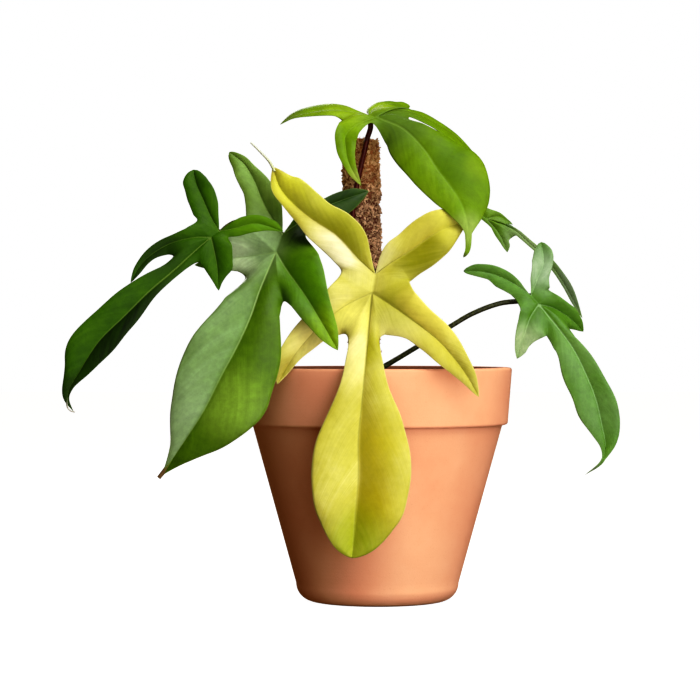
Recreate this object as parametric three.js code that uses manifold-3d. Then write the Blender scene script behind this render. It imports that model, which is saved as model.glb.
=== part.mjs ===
// Potted Florida Ghost philodendron: a terracotta pot of potting mix, a coir pole on a wooden
// stake, a short stem at its foot, and six lobed leaves on long stalks.
// Millimetres, +Z up, the leaves facing -Y. The origin is the centre of the pot's base.
import * as THREE from 'three';
import Module from 'manifold-3d';
import { mergeVertices } from 'three/addons/utils/BufferGeometryUtils.js';

const wasm = await Module();
wasm.setup();

// Clearance between pieces that touch
const GAP = 0.35;

// Pot: a 180 mm thrown pot with a wide straight rim
const POT_HEIGHT = 156;
const RIM_RADIUS = 90;
const RIM_HEIGHT = 38;
const RIM_FOOT_RADIUS = 87.3;
const RIM_THICKNESS = 7;
const BODY_TOP_RADIUS = 83.6;
const BODY_FOOT_RADIUS = 54.4;
const WALL = 6.5;
const FLOOR = 9;
const FOOT_ROUND = 12;
const INSIDE_ROUND = 4;
const RIM_EDGE = 1.5;
const DRAIN_RADIUS = 5;
const DRAIN_CIRCLE_RADIUS = 24;
const DRAIN_COUNT = 3;
const ROUND_SIDES = 48;

// Potting mix, heaped in waves that are this high and, across x and y, this long over 2 pi
const SOIL_LEVEL = 144;
const SOIL_UNEVEN = 1.6;
const SOIL_WAVES = [9, 7];
const SOIL_RINGS = [0.9, 0.75, 0.5, 0.25];

// Coir pole behind the leaves, leaning a little left: a stake from near the pot's floor, and a
// sleeve that swells over COIR_SWELL, from just above the mix, into lumps and a ragged top
const POLE = { x: -6.2, y: 4, top: 309.5, foot: 100, lean: 0.0149 };
const STAKE_RADIUS = 5;
const STAKE_FOOT = 14;
const STAKE_SUNK = 3;
const STAKE_SIDES = 12;
const COIR_RADIUS = 12;
const COIR_FOOT_RADIUS = 10.8;
const COIR_CLEAR = 6;
const COIR_SWELL = 60;
const COIR_LUMP = 0.7;
const COIR_RAGGED = 1.4;
const COIR_LEVELS = 13;
const COIR_SIDES = 24;

// Vine stem up the front of the pole, with swollen joints
const STEM = { x: -9, y: -15.5, top: 216, foot: 112, radius: 5, tipRadius: 3.4 };
const STEM_CLEAR = 3;
const STEM_SIDES = 12;
const JOINTS = 6;
const JOINT_LENGTH = 6;
const JOINT_SWELL = 1.05;
const BETWEEN_JOINTS = 0.85;

// Leaves. A blade is five lobes: an ear on either side of where the stalk joins it, and an arm,
// the long terminal lobe and another arm from the fork just below. They are listed going round
// the margin from the stalk, down the left as seen from the front. A vein is given by the points
// it passes through. `right` and `left` are the half-widths on either hand, looking along the
// vein, at eighths of its length counted back from the tip, as far as the lobe is free.
// `sinus` is the bottom of the bay before the next lobe. `lean` is how far each hand's margin
// falls back from the vein per millimetre of half-width, and is negative where it comes forward.
// `tip` shapes the last eighth: the margin closes on the tip as a power of what is left, so a
// small value makes it blunt. A lobe longer than FINE_LOBE has two steps to an eighth, and a
// stalk ends STALK_SETBACK behind the blade, after a straight run of STALK_BEND.
const EIGHTHS = 8;
const TIP = 0.8;
const BLADE_THICKNESS = 1;
const BLADE_ROWS = 2;
const FINE_LOBE = 120;
const STALK_BEND = 8;
const STALK_STEP = 9;
const STALK_SETBACK = 1.8 * GAP;
const LEAVES = {
  ghost: {
    colour: 0xd3d649,
    joint: [-2, -60, 217],
    fork: [-4, -66, 205],
    facing: [0, -1, -0.15],
    bulge: 0.07,
    lean: -0.22,
    lobes: [
      {
        vein: [
          [-12, -61, 226], [-27, -64, 242], [-41.5, -66, 251.5],
          [-54.5, -67, 262], [-63.5, -67, 272.5], [-68, -66, 286],
        ],
        right: [8.5, 14.4, 15.6, 14.5, 15.2, 15.3, 11.9],
        left: [13.1, 13.4, 11.5, 8, 5.9, 5.1],
        sinus: [-24, -63, 219],
      },
      {
        vein: [[-22, -70, 196], [-41, -72, 180], [-55, -73, 163], [-65, -75, 146]],
        right: [15.5, 13, 11.5, 11, 10, 8],
        left: [13.5, 9, 7, 4.5, 3],
        sinus: [-20, -81, 177],
      },
      {
        vein: [
          [-5, -72, 196], [-7, -85, 175], [-9, -96, 154], [-11, -99, 133],
          [-13, -100, 112], [-13, -101, 88], [-15, -101, 63], [-17, -101, 37],
        ],
        right: [12, 14.5, 21, 28.5, 29, 22],
        left: [9, 15.5, 27, 32.5, 32, 25.5],
        tip: 0.5,
        sinus: [1, -82, 176],
      },
      {
        vein: [
          [11, -76, 195], [27, -84, 183], [37, -87, 175],
          [47, -87, 164], [56, -84, 152], [64, -80, 138],
        ],
        right: [18, 12, 11.5, 10.5, 8, 4.5],
        left: [15, 12.5, 11.5, 10, 7.5, 5],
        sinus: [20, -68, 212],
      },
      {
        vein: [[9, -60, 225], [22, -60, 233], [33, -60, 241], [44, -60, 247], [57, -60, 251]],
        right: [17, 16, 16.2, 15.7, 13.7, 9],
        left: [7, 11.8, 12.7, 13.7, 14.2, 13.7, 10],
      },
    ],
    stalk: { radius: 1.6, path: [[-9, -15.5, 178], [-7, -28, 206], [-4, -42, 221]] },
  },
  front_left: {
    colour: 0x4f8a1e,
    joint: [-62, -55, 243],
    fork: [-66, -58, 231],
    facing: [-0.35, -0.9, 0.3],
    bulge: 0.07,
    lean: -0.2,
    lobes: [
      {
        vein: [[-71, -52, 257], [-76, -50, 267], [-80, -48, 277], [-87, -46, 289], [-97, -44, 297]],
        right: [5.5, 9.5, 10.5, 10, 7.5, 4.5, 3.5],
        left: [16.5, 12.5, 10, 10, 9.5, 7],
        tip: 0.5,
        sinus: [-86, -56, 249],
      },
      {
        vein: [[-80, -57, 229], [-96, -56, 227], [-119, -56, 223]],
        right: [17, 16, 11, 6, 2.5],
        left: [8.5, 7, 6, 3.5],
        sinus: [-86, -60, 215],
      },
      {
        vein: [
          [-76, -68, 207], [-82, -76, 189], [-91, -83, 169], [-100, -87, 152],
          [-111, -89, 130], [-123, -89, 111], [-139, -86, 87],
        ],
        right: [19.5, 25, 28, 25, 19, 6],
        left: [17.5, 27.5, 33.5, 34.5, 24.5, 11],
        tip: 1.3,
        sinus: [-61, -70, 199],
      },
      {
        vein: [[-60, -64, 221], [-47, -78, 203], [-37, -86, 187], [-26, -88, 168]],
        right: [11, 10, 8, 5.5],
        left: [22.5, 19.5, 15.5, 12, 9, 6],
        sinus: [-47, -56, 242],
      },
      {
        vein: [[-48, -50, 253], [-35, -46, 261], [-20, -42, 267], [-6, -38, 272]],
        right: [10, 11.5, 11.5, 11, 9, 5.5],
        left: [2.5, 5, 5.5, 5, 5.5, 5.5, 4.5],
      },
    ],
    stalk: {
      radius: 1.6,
      path: [[-9, -15.5, 170], [-21.6, -24, 188], [-34.7, -36, 204], [-51, -47, 226]],
    },
  },
  far_left: {
    colour: 0x1f5a0c,
    joint: [-102, -76, 244],
    fork: [-107, -78, 240],
    facing: [-0.6, -0.75, 0.3],
    bulge: 0.08,
    lean: -0.2,
    lobes: [
      {
        vein: [[-108, -74, 255], [-113, -71, 266], [-117, -69, 275], [-119, -67, 284]],
        right: [3, 5.5, 7.5, 8.5, 9, 8.3, 6.5],
        left: [9.5, 9.5, 9.5, 8.5, 7.5],
        tip: 0.5,
        sinus: [-116, -77, 251],
      },
      {
        vein: [[-117, -79, 240], [-133, -80, 236], [-146, -82, 228], [-153, -83, 220], [-158, -84, 211]],
        right: [6.5, 5, 4.7, 4.2, 3.4, 2.4],
        left: [5.5, 3.5, 3, 2.5],
        sinus: [-131, -82, 228],
      },
      {
        vein: [
          [-115, -80, 233], [-129, -84, 220], [-145, -88, 206], [-161, -91, 190],
          [-177, -93, 174], [-188, -94, 157], [-197, -94, 139], [-193, -92, 128],
        ],
        right: [7, 12, 14, 15, 14.5, 5.5],
        left: [4, 5.5, 8.5, 10.5, 8, 2],
        tip: 1.3,
        sinus: [-115, -82, 224],
      },
      {
        vein: [[-105, -80, 232], [-103, -81, 222], [-102, -82, 206]],
        right: [9.5, 7.5, 5, 2.5],
        left: [12, 11.5, 10.5, 9.5, 5, 2],
        sinus: [-96, -78, 240],
      },
      {
        vein: [[-92, -77, 246], [-79, -77, 249], [-70, -76, 247], [-61, -75, 244]],
        right: [5.5, 5.5, 5.5, 5, 3, 1.5],
        left: [2.5, 4.5, 5.5, 5.5, 5.5, 5, 4],
      },
    ],
    stalk: {
      radius: 1.5,
      path: [
        [-9, -15.5, 162], [-21.6, -26, 182], [-39, -38, 199],
        [-57, -45, 225], [-77, -44, 243], [-90.5, -50, 251], [-97, -60, 248.5],
      ],
    },
  },
  top: {
    colour: 0x6ba21a,
    joint: [-6, -22, 323],
    fork: [-1, -26, 321],
    facing: [0, -0.5, 0.87],
    bulge: 0.06,
    lean: -0.15,
    lobes: [
      {
        vein: [[-18, -23, 325], [-32, -25, 326], [-45, -27, 324], [-56, -30, 321], [-64, -33, 316]],
        right: [1.8, 4.2, 5, 5, 4.8, 4, 2.2],
        left: [4.5, 4, 3, 2, 1],
        lean: [2.4, -2],
        sinus: [-24, -31, 319],
      },
      {
        vein: [[-13, -33, 316], [-21, -44, 308], [-21, -51, 299], [-19, -56, 289], [-11, -60, 274]],
        right: [8, 6.5, 6, 4, 3],
        left: [5, 7.5, 7.5, 6, 4.5, 2.5],
        sinus: [-4, -31, 317],
      },
      {
        vein: [
          [16, -38, 313], [30, -49, 298], [38, -55, 285], [46, -60, 274],
          [53, -63.5, 263], [57, -66, 251], [57.9, -67, 240], [57.2, -67, 232], [54.6, -67, 227.6],
        ],
        right: [14, 18.7, 19.5, 17, 14.5, 9.7, 2.2],
        left: [11.5, 17.5, 25.5, 26.5, 17.5, 2.2],
        tip: 0.32,
        lean: [-0.05, 0.3],
        sinus: [20.6, -26, 319.8],
      },
      {
        vein: [[9, -18, 326], [22, -10, 326], [35, -5, 321], [50, -3, 312], [63, -3, 301]],
        right: [4.2, 4.4, 4.3, 5.5, 4.6],
        left: [2, 3.1, 2.7, 2.3, 1.6],
        lean: [-2.5, 2.5],
        sinus: [21, -9, 328],
      },
      {
        vein: [[-4, -15, 327], [3, -7, 331], [13, 0, 332], [22, 5, 331]],
        right: [5.5, 5, 4.5, 4],
        left: [2.5, 2.5, 3, 2.5, 2.5, 2, 2.5],
        tip: 0.45,
        lean: [-1.5, 2.5],
      },
    ],
    stalk: {
      radius: 1.75,
      path: [
        [-9, -15.5, 190], [-15.5, -17, 208], [-16.5, -18, 236], [-16.2, -18.5, 262],
        [-13, -18.5, 280.4], [-9.6, -18.5, 295.5], [-6.8, -18.7, 308],
      ],
    },
  },
  right: {
    colour: 0x3f7a1c,
    joint: [102, -10, 204],
    fork: [107, -12, 198],
    facing: [0.75, -0.65, 0.1],
    bulge: 0.08,
    lean: -0.2,
    lobes: [
      {
        vein: [[92, -11, 211], [80, -12, 217], [68, -13, 220], [57, -14, 220]],
        right: [1.5, 3.7, 5.2, 5.7, 5.7, 5, 4],
        left: [7.5, 7.5, 7, 4.5, 4, 3],
        tip: 0.55,
        sinus: [92, -12, 201],
      },
      {
        vein: [[101, -16, 189], [97, -20, 178], [92, -24, 162]],
        right: [8, 6.5, 6, 5.5, 4.5, 3],
        left: [13.5, 8.5, 5.5, 4],
        sinus: [112, -18, 177],
      },
      {
        vein: [
          [119, -18, 183], [129, -23, 169], [137, -28, 152], [143, -32, 136],
          [147, -35, 118], [149, -37, 104], [146.5, -38, 95], [135.5, -39, 86],
        ],
        right: [11, 14, 15, 14, 7.5, 0.9],
        left: [5.5, 8.5, 11, 12.3, 11, 1.6],
        sinus: [128, -15, 180],
      },
      {
        vein: [[116, -9, 196], [127, -5, 190], [138, 0, 180]],
        right: [6, 3],
        left: [9, 8, 7.5, 7.5, 6, 4],
        sinus: [114, -8, 208],
      },
      {
        vein: [[107, -7, 216], [111, -3, 226], [110, 3, 240]],
        right: [9.5, 7.5, 6.5, 6.5, 6.5, 5],
        left: [1.8, 4.3, 5.8, 7.2, 7.7, 6.7, 5],
        tip: 0.55,
      },
    ],
    stalk: {
      radius: 1.7,
      path: [
        [-9, -15.5, 149], [5, -9, 157], [25.7, -8, 169.4],
        [48, -7, 183], [63.5, -6, 192], [82, -5, 198.8],
      ],
    },
  },
  back_right: {
    colour: 0x4c8f16,
    joint: [71, 35, 260],
    fork: [75, 34, 257],
    facing: [0.7, -0.7, 0.2],
    bulge: 0.08,
    lean: -0.15,
    lobes: [
      {
        vein: [[65, 36, 267], [60, 37, 276], [54, 38, 285]],
        right: [4.5, 6.5, 7.5, 8, 6.5, 5.5, 3],
        left: [6.5, 7, 7.5, 7.5, 7, 5],
        sinus: [68, 34, 259],
      },
      {
        vein: [[82, 33, 249], [86, 32, 242], [89, 31, 234]],
        right: [2, 2.7, 2.9, 2.5, 2, 1.3],
        left: [3.5, 3],
        sinus: [92, 34, 244],
      },
      {
        vein: [[90, 34, 252], [104.3, 33, 240], [118, 32, 226.3], [128.5, 31, 211], [140, 29, 189]],
        right: [2, 1.7, 1.5, 1.7, 1.8, 1.6],
        left: [2, 2.5, 3, 3.7, 4, 2.5],
        sinus: [94, 35, 250],
      },
      {
        vein: [[82, 35, 259], [87, 35, 257], [93, 35, 253]],
        right: [1, 1],
        left: [3, 2.2, 1.6, 1.1, 0.8],
        sinus: [75, 35, 265],
      },
      {
        vein: [[71, 36, 267], [71, 37, 273], [70, 38, 281]],
        right: [4, 3.5, 3.5, 3, 1.5],
        left: [2, 3, 3.5, 4, 4.5, 3.5, 2.5],
      },
    ],
    stalk: {
      radius: 1.5,
      path: [[-9, -15.5, 184], [8.4, -6, 207], [22, 8, 220], [42.5, 24, 240], [60, 38, 252.4]],
    },
  },
};

const vector = (point) => new THREE.Vector3(...point);

// Solids from closed geometries, and back

function solidOf(geometry) {
  const plain = geometry.clone();
  plain.deleteAttribute('normal');
  plain.deleteAttribute('uv');
  const merged = mergeVertices(plain, 1e-3);
  return new wasm.Manifold(new wasm.Mesh({
    numProp: 3,
    vertProperties: new Float32Array(merged.attributes.position.array),
    triVerts: new Uint32Array(merged.index.array),
  }));
}

function geometryOf(solid) {
  const mesh = solid.getMesh();
  const geometry = new THREE.BufferGeometry();
  geometry.setAttribute('position', new THREE.BufferAttribute(mesh.vertProperties, 3));
  geometry.setIndex(new THREE.BufferAttribute(mesh.triVerts, 1));
  return geometry.toNonIndexed();
}

// Standing solids of revolution, from [radius, height] points

function turned(profile, sides = ROUND_SIDES) {
  const points = profile.map(([radius, height]) => new THREE.Vector2(radius, height));
  return new THREE.LatheGeometry(points, sides).rotateX(Math.PI / 2);
}

function rod(radius, foot, top, sides) {
  return turned([[0, foot], [radius, foot], [radius, top], [0, top]], sides);
}

const onPole = (geometry) => geometry.rotateY(-POLE.lean).translate(POLE.x, POLE.y, 0);
const onStem = (geometry) => geometry.translate(STEM.x, STEM.y, 0);

// Pot

function innerRadius(height) {
  const share = (height - FLOOR) / (POT_HEIGHT - FLOOR);
  return BODY_FOOT_RADIUS - WALL + share * (RIM_RADIUS - RIM_THICKNESS - BODY_FOOT_RADIUS + WALL);
}

function pot() {
  const rimFoot = POT_HEIGHT - RIM_HEIGHT;
  const edge = RIM_EDGE;
  const footRound = [0, 0.25, 0.5, 0.75, 1].map((share) => {
    const angle = share * (Math.PI / 2);
    return [
      BODY_FOOT_RADIUS - FOOT_ROUND + FOOT_ROUND * Math.sin(angle),
      FOOT_ROUND - FOOT_ROUND * Math.cos(angle),
    ];
  });
  const shell = turned([
    [0, 0],
    ...footRound,
    [BODY_TOP_RADIUS, rimFoot],
    [RIM_FOOT_RADIUS - edge, rimFoot],
    [RIM_FOOT_RADIUS, rimFoot + edge],
    [RIM_RADIUS, POT_HEIGHT - edge],
    [RIM_RADIUS - edge, POT_HEIGHT],
    [RIM_RADIUS - RIM_THICKNESS + edge, POT_HEIGHT],
    [innerRadius(POT_HEIGHT - edge), POT_HEIGHT - edge],
    [innerRadius(FLOOR + INSIDE_ROUND), FLOOR + INSIDE_ROUND],
    [innerRadius(FLOOR) - INSIDE_ROUND, FLOOR],
    [0, FLOOR],
  ]);
  let solid = solidOf(shell);
  for (let hole = 0; hole < DRAIN_COUNT; hole += 1) {
    const angle = (hole / DRAIN_COUNT) * 2 * Math.PI;
    const x = DRAIN_CIRCLE_RADIUS * Math.cos(angle);
    const y = DRAIN_CIRCLE_RADIUS * Math.sin(angle);
    solid = solid.subtract(solidOf(rod(DRAIN_RADIUS, -1, FLOOR + 1, 16).translate(x, y, 0)));
  }
  return geometryOf(solid);
}

// Potting mix, with plain holes for the stake, the foot of the coir sleeve and the stem

function soil() {
  const foot = FLOOR + GAP;
  const edgeRadius = innerRadius(SOIL_LEVEL) - GAP;
  const profile = [
    [0, foot],
    [innerRadius(FLOOR) - INSIDE_ROUND - GAP, foot],
    [innerRadius(foot + INSIDE_ROUND) - GAP, foot + INSIDE_ROUND],
    [edgeRadius, SOIL_LEVEL],
    ...SOIL_RINGS.map((share) => [share * edgeRadius, SOIL_LEVEL]),
    [0, SOIL_LEVEL],
  ];
  const heap = turned(profile);
  const position = heap.attributes.position;
  const [waveX, waveY] = SOIL_WAVES;
  for (let i = 0; i < position.count; i += 1) {
    const [x, y, z] = [position.getX(i), position.getY(i), position.getZ(i)];
    if (z > SOIL_LEVEL - 1 && Math.hypot(x, y) < edgeRadius - 1) {
      position.setZ(i, z + SOIL_UNEVEN * Math.sin(x / waveX + 1) * Math.cos(y / waveY));
    }
  }
  const above = SOIL_LEVEL + 10;
  return geometryOf(
    solidOf(heap)
      .subtract(solidOf(onPole(rod(STAKE_RADIUS + GAP, STAKE_FOOT - GAP, above, STAKE_SIDES))))
      .subtract(solidOf(onPole(rod(COIR_FOOT_RADIUS + GAP, POLE.foot - GAP, above, COIR_SIDES))))
      .subtract(solidOf(onStem(rod(STEM.radius + GAP, STEM.foot - GAP, above, STEM_SIDES)))),
  );
}

// Pole: a wooden stake in a sleeve of bound coir, lumpy above the soil and uneven at its top

function coirSleeve() {
  const bore = STAKE_RADIUS + GAP;
  const clear = SOIL_LEVEL + COIR_CLEAR;
  const outer = [];
  for (let level = 0; level <= COIR_LEVELS; level += 1) {
    outer.push([COIR_RADIUS, clear + (level / COIR_LEVELS) * (POLE.top - clear)]);
  }
  const sleeve = turned([
    [bore, POLE.foot],
    [COIR_FOOT_RADIUS, POLE.foot],
    ...outer,
    [bore, POLE.top],
    [bore, POLE.foot],
  ], COIR_SIDES);
  const position = sleeve.attributes.position;
  for (let i = 0; i < position.count; i += 1) {
    const [x, y, z] = [position.getX(i), position.getY(i), position.getZ(i)];
    const radius = Math.hypot(x, y);
    const angle = Math.atan2(y, x);
    const rise = THREE.MathUtils.clamp((z - clear) / COIR_SWELL, 0, 1);
    if (radius > COIR_FOOT_RADIUS) {
      const lump = COIR_LUMP * Math.sin(3 * angle + z / 11) * Math.cos(z / 7 + 2 * angle);
      const grown = COIR_FOOT_RADIUS + rise * (COIR_RADIUS - COIR_FOOT_RADIUS + lump);
      position.setX(i, (x / radius) * grown);
      position.setY(i, (y / radius) * grown);
    }
    if (z > POLE.top - 1) {
      position.setZ(i, z - COIR_RAGGED * Math.cos(angle));
    }
  }
  return onPole(sleeve);
}

function stake() {
  return onPole(rod(STAKE_RADIUS, STAKE_FOOT, POLE.top - STAKE_SUNK, STAKE_SIDES));
}

// Stem: tapers up to the youngest leaf's stalk, with a swollen ring at each joint. A stem grown
// by the gap is what cuts the stalks' roots.

function stem(grow = 0) {
  const foot = SOIL_LEVEL + STEM_CLEAR;
  const profile = [[0, STEM.foot], [STEM.radius + grow, STEM.foot], [STEM.radius + grow, foot]];
  for (let joint = 0; joint < JOINTS; joint += 1) {
    const share = (joint + 0.5) / JOINTS;
    const height = foot + share * (STEM.top - foot);
    const radius = STEM.radius + share * (STEM.tipRadius - STEM.radius);
    profile.push(
      [radius * BETWEEN_JOINTS + grow, height - JOINT_LENGTH / 2],
      [radius * JOINT_SWELL + grow, height],
      [radius * BETWEEN_JOINTS + grow, height + JOINT_LENGTH / 2],
    );
  }
  profile.push([STEM.tipRadius * BETWEEN_JOINTS + grow, STEM.top + grow], [0, STEM.top + grow]);
  return onStem(turned(profile, STEM_SIDES));
}

// Leaf stalk: a round tube from the stem's side to the back of the blade where its veins meet

function stalk(leaf) {
  const { radius, path } = leaf.stalk;
  const joint = vector(leaf.joint);
  const outward = normalAt(leaf, joint);
  const end = joint.clone().addScaledVector(outward, -BLADE_THICKNESS / 2 - STALK_SETBACK);
  const before = joint.clone().addScaledVector(outward, -STALK_BEND);
  const route = new THREE.CatmullRomCurve3([...path.map(vector), before, end]);
  const section = new THREE.Shape();
  section.absarc(0, 0, radius, 0, 2 * Math.PI);
  const tube = new THREE.ExtrudeGeometry(section, {
    steps: Math.max(10, Math.round(route.getLength() / STALK_STEP)),
    curveSegments: 4,
    extrudePath: route,
    bevelEnabled: false,
  });
  return geometryOf(solidOf(tube).subtract(solidOf(stem(GAP))));
}

// Blade

// Value at `at` on a smooth curve through evenly spaced values, which runs on straight at its ends
function smooth(values, at) {
  const last = values.length - 1;
  const value = (i) => {
    if (i < 0) return 2 * values[0] - values[1];
    if (i > last) return 2 * values[last] - values[last - 1];
    return values[i];
  };
  const i = Math.min(Math.floor(at), last - 1);
  const t = at - i;
  const [a, b, c, d] = [value(i - 1), value(i), value(i + 1), value(i + 2)];
  return b + 0.5 * t * (c - a + t * (2 * a - 5 * b + 4 * c - d + t * (3 * (b - c) + d - a)));
}

// One lobe's vein points and, on either hand, its margin points from where the lobe is free
function placeLobe(leaf, lobe, index) {
  const atJoint = index === 0 || index === leaf.lobes.length - 1;
  const root = vector(atJoint ? leaf.joint : leaf.fork);
  const curve = new THREE.CatmullRomCurve3([root, ...lobe.vein.map(vector)]);
  const perEighth = curve.getLength() > FINE_LOBE ? 2 : 1;
  const steps = EIGHTHS * perEighth;
  const vein = curve.getSpacedPoints(steps);
  const lean = lobe.lean ?? [leaf.lean, leaf.lean];
  const tip = lobe.tip ?? TIP;
  const hands = [lobe.right, lobe.left].map((given, hand) => {
    const open = atJoint && given.length === EIGHTHS - 1;
    const widths = [...(open ? [0] : []), ...given, 0];
    const free = (EIGHTHS + 1 - widths.length) * perEighth;
    const margin = [];
    for (let step = free; step <= steps; step += 1) {
      const left = (steps - step) / perEighth;
      const width = left < 1 ? given.at(-1) * left ** tip : smooth(widths, (step - free) / perEighth);
      const tangent = curve.getTangentAt(step / steps);
      const flat = Math.hypot(tangent.x, tangent.z);
      const turn = hand === 0 ? width / flat : -width / flat;
      const across = new THREE.Vector3(tangent.z * turn, lean[hand] * width, -tangent.x * turn);
      margin.push(vein[step].clone().add(across));
    }
    return { free, margin };
  });
  return { vein, steps, right: hands[0], left: hands[1], sinus: lobe.sinus && vector(lobe.sinus) };
}

// The bay between two lobes: back along one vein to the fork, out along the next, with the
// margin rounding the sinus meanwhile
function bay(from, to) {
  const back = from.vein.slice(0, from.left.free).toReversed();
  const out = to.vein.slice(0, to.right.free);
  const sameRoot = back.at(-1).distanceTo(out[0]) < 1e-6;
  const spine = [...back, ...(sameRoot ? out.slice(1) : out)];
  const corner = sameRoot ? back.length : back.length + 0.5;
  const curve = new THREE.CatmullRomCurve3([
    from.left.margin[1], from.left.margin[0], from.sinus, to.right.margin[0], to.right.margin[1],
  ]);
  const end = spine.length + 1;
  const margin = spine.map((_, i) => {
    const step = i + 1;
    const share = step < corner ? step / corner : 1 + (step - corner) / (end - corner);
    return curve.getPoint((1 + share) / 4);
  });
  return { spine, margin };
}

// Paired points on the veins and on the margin, once round the blade
function walkMargin(leaf) {
  const lobes = leaf.lobes.map((lobe, index) => placeLobe(leaf, lobe, index));
  const spine = [];
  const margin = [];
  lobes.forEach((lobe, index) => {
    spine.push(...lobe.vein.slice(lobe.right.free));
    margin.push(...lobe.right.margin);
    spine.push(...lobe.vein.slice(lobe.left.free, -1).toReversed());
    margin.push(...lobe.left.margin.slice(0, -1).toReversed());
    if (lobe.sinus) {
      const turn = bay(lobe, lobes[index + 1]);
      spine.push(...turn.spine);
      margin.push(...turn.margin);
    }
  });
  spine.pop();
  margin.pop();
  return { spine, margin };
}

// The blade's middle surface, arched between veins and margin
function bladeSheet(leaf) {
  const { spine, margin } = walkMargin(leaf);
  const facing = vector(leaf.facing).normalize();
  const points = [];
  spine.forEach((onVein, column) => {
    const across = margin[column].clone().sub(onVein);
    for (let row = 0; row <= BLADE_ROWS; row += 1) {
      const share = row / BLADE_ROWS;
      const arch = leaf.bulge * across.length() * 4 * share * (1 - share);
      points.push(onVein.clone().addScaledVector(across, share).addScaledVector(facing, arch));
    }
  });
  const faces = [];
  for (let column = 0; column < spine.length; column += 1) {
    const here = column * (BLADE_ROWS + 1);
    const next = ((column + 1) % spine.length) * (BLADE_ROWS + 1);
    for (let row = 0; row < BLADE_ROWS; row += 1) {
      faces.push(here + row, here + row + 1, next + row + 1);
      faces.push(here + row, next + row + 1, next + row);
    }
  }
  const sheet = new THREE.BufferGeometry().setFromPoints(points);
  sheet.setIndex(faces);
  return sheet;
}

// A sheet's triangles with vertices at one place merged and empty triangles dropped
function weld(sheet) {
  const merged = mergeVertices(sheet, 1e-3);
  const index = merged.index.array;
  const faces = [];
  for (let i = 0; i < index.length; i += 3) {
    const [a, b, c] = [index[i], index[i + 1], index[i + 2]];
    if (a !== b && b !== c && c !== a) faces.push(a, b, c);
  }
  merged.setIndex(faces);
  return merged;
}

// The way the blade's front faces at one of its vein points
function normalAt(leaf, place) {
  const sheet = weld(bladeSheet(leaf));
  sheet.computeVertexNormals();
  const { position, normal } = sheet.attributes;
  for (let i = 0; i < position.count; i += 1) {
    if (new THREE.Vector3().fromBufferAttribute(position, i).distanceTo(place) < 1e-3) {
      return new THREE.Vector3().fromBufferAttribute(normal, i);
    }
  }
  throw new Error('The blade has no vein point there');
}

// A closed blade: the sheet moved half the thickness either way, joined round its margin
function blade(leaf) {
  const sheet = weld(bladeSheet(leaf));
  sheet.computeVertexNormals();
  const { position, normal } = sheet.attributes;
  const faces = [...sheet.index.array];
  const count = position.count;
  const points = new Float32Array(count * 6);
  for (let i = 0; i < count; i += 1) {
    const at = new THREE.Vector3().fromBufferAttribute(position, i);
    const up = new THREE.Vector3().fromBufferAttribute(normal, i).multiplyScalar(BLADE_THICKNESS / 2);
    at.clone().add(up).toArray(points, i * 3);
    at.clone().sub(up).toArray(points, (count + i) * 3);
  }
  const edges = new Set();
  for (let i = 0; i < faces.length; i += 3) {
    for (let side = 0; side < 3; side += 1) {
      edges.add(`${faces[i + side]},${faces[i + ((side + 1) % 3)]}`);
    }
  }
  const shell = [...faces];
  for (let i = 0; i < faces.length; i += 3) {
    shell.push(faces[i] + count, faces[i + 2] + count, faces[i + 1] + count);
  }
  for (const edge of edges) {
    const [a, b] = edge.split(',').map(Number);
    if (!edges.has(`${b},${a}`)) {
      shell.push(b, a, a + count, b, a + count, b + count);
    }
  }
  const geometry = new THREE.BufferGeometry();
  geometry.setAttribute('position', new THREE.BufferAttribute(points, 3));
  geometry.setIndex(shell);
  return geometry.toNonIndexed();
}

// Plant

const plant = new THREE.Group();

function addPiece(name, geometry, colour, roughness) {
  geometry.computeVertexNormals();
  const material = new THREE.MeshStandardMaterial({ color: colour, roughness, metalness: 0 });
  const mesh = new THREE.Mesh(geometry, material);
  mesh.name = name;
  plant.add(mesh);
}

addPiece('pot', pot(), 0xb5643a, 0.85);
addPiece('soil', soil(), 0x2e2018, 1);
addPiece('pole_stake', stake(), 0x9c7a52, 0.8);
addPiece('pole_coir', coirSleeve(), 0x8a5630, 1);
addPiece('stem', stem(), 0x4c5a26, 0.6);
for (const [name, leaf] of Object.entries(LEAVES)) {
  addPiece(`stalk_${name}`, stalk(leaf), 0x3d3a1c, 0.45);
  addPiece(`leaf_${name}`, blade(leaf), leaf.colour, 0.4);
}

export default plant;
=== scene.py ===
import math

import bmesh
import bpy
import numpy as np
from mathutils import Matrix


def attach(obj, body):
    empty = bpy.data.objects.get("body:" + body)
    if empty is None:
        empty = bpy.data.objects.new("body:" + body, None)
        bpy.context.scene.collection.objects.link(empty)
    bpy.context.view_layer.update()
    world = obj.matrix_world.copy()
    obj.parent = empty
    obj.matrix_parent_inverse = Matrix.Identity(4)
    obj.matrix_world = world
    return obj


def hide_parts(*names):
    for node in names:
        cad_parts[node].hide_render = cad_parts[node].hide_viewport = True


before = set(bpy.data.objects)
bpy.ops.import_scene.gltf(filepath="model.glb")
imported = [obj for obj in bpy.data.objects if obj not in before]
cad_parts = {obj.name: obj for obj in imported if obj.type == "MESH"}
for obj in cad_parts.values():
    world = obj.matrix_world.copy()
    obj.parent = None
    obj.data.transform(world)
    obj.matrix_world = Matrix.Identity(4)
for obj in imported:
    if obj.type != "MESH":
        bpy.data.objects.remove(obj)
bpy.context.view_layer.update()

# Pot
# A stock 18 cm flower pot of red earthenware, thrown or pressed in a mould and fired once with
# no glaze. The wide straight rim keeps it from breaking and gives something to lift it by, and
# three holes in its floor let water out. It carries everything else.
MM = 0.001  # sizes are in millimetres, here and below
POT_HEIGHT = 156
RIM_RADIUS = 90
RIM_HEIGHT = 38
RIM_FOOT_RADIUS = 87.3
RIM_THICKNESS = 7
RIM_EDGE = 1.8
THROAT_HEIGHT = 1.2
THROAT_IN = 0.3
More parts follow.
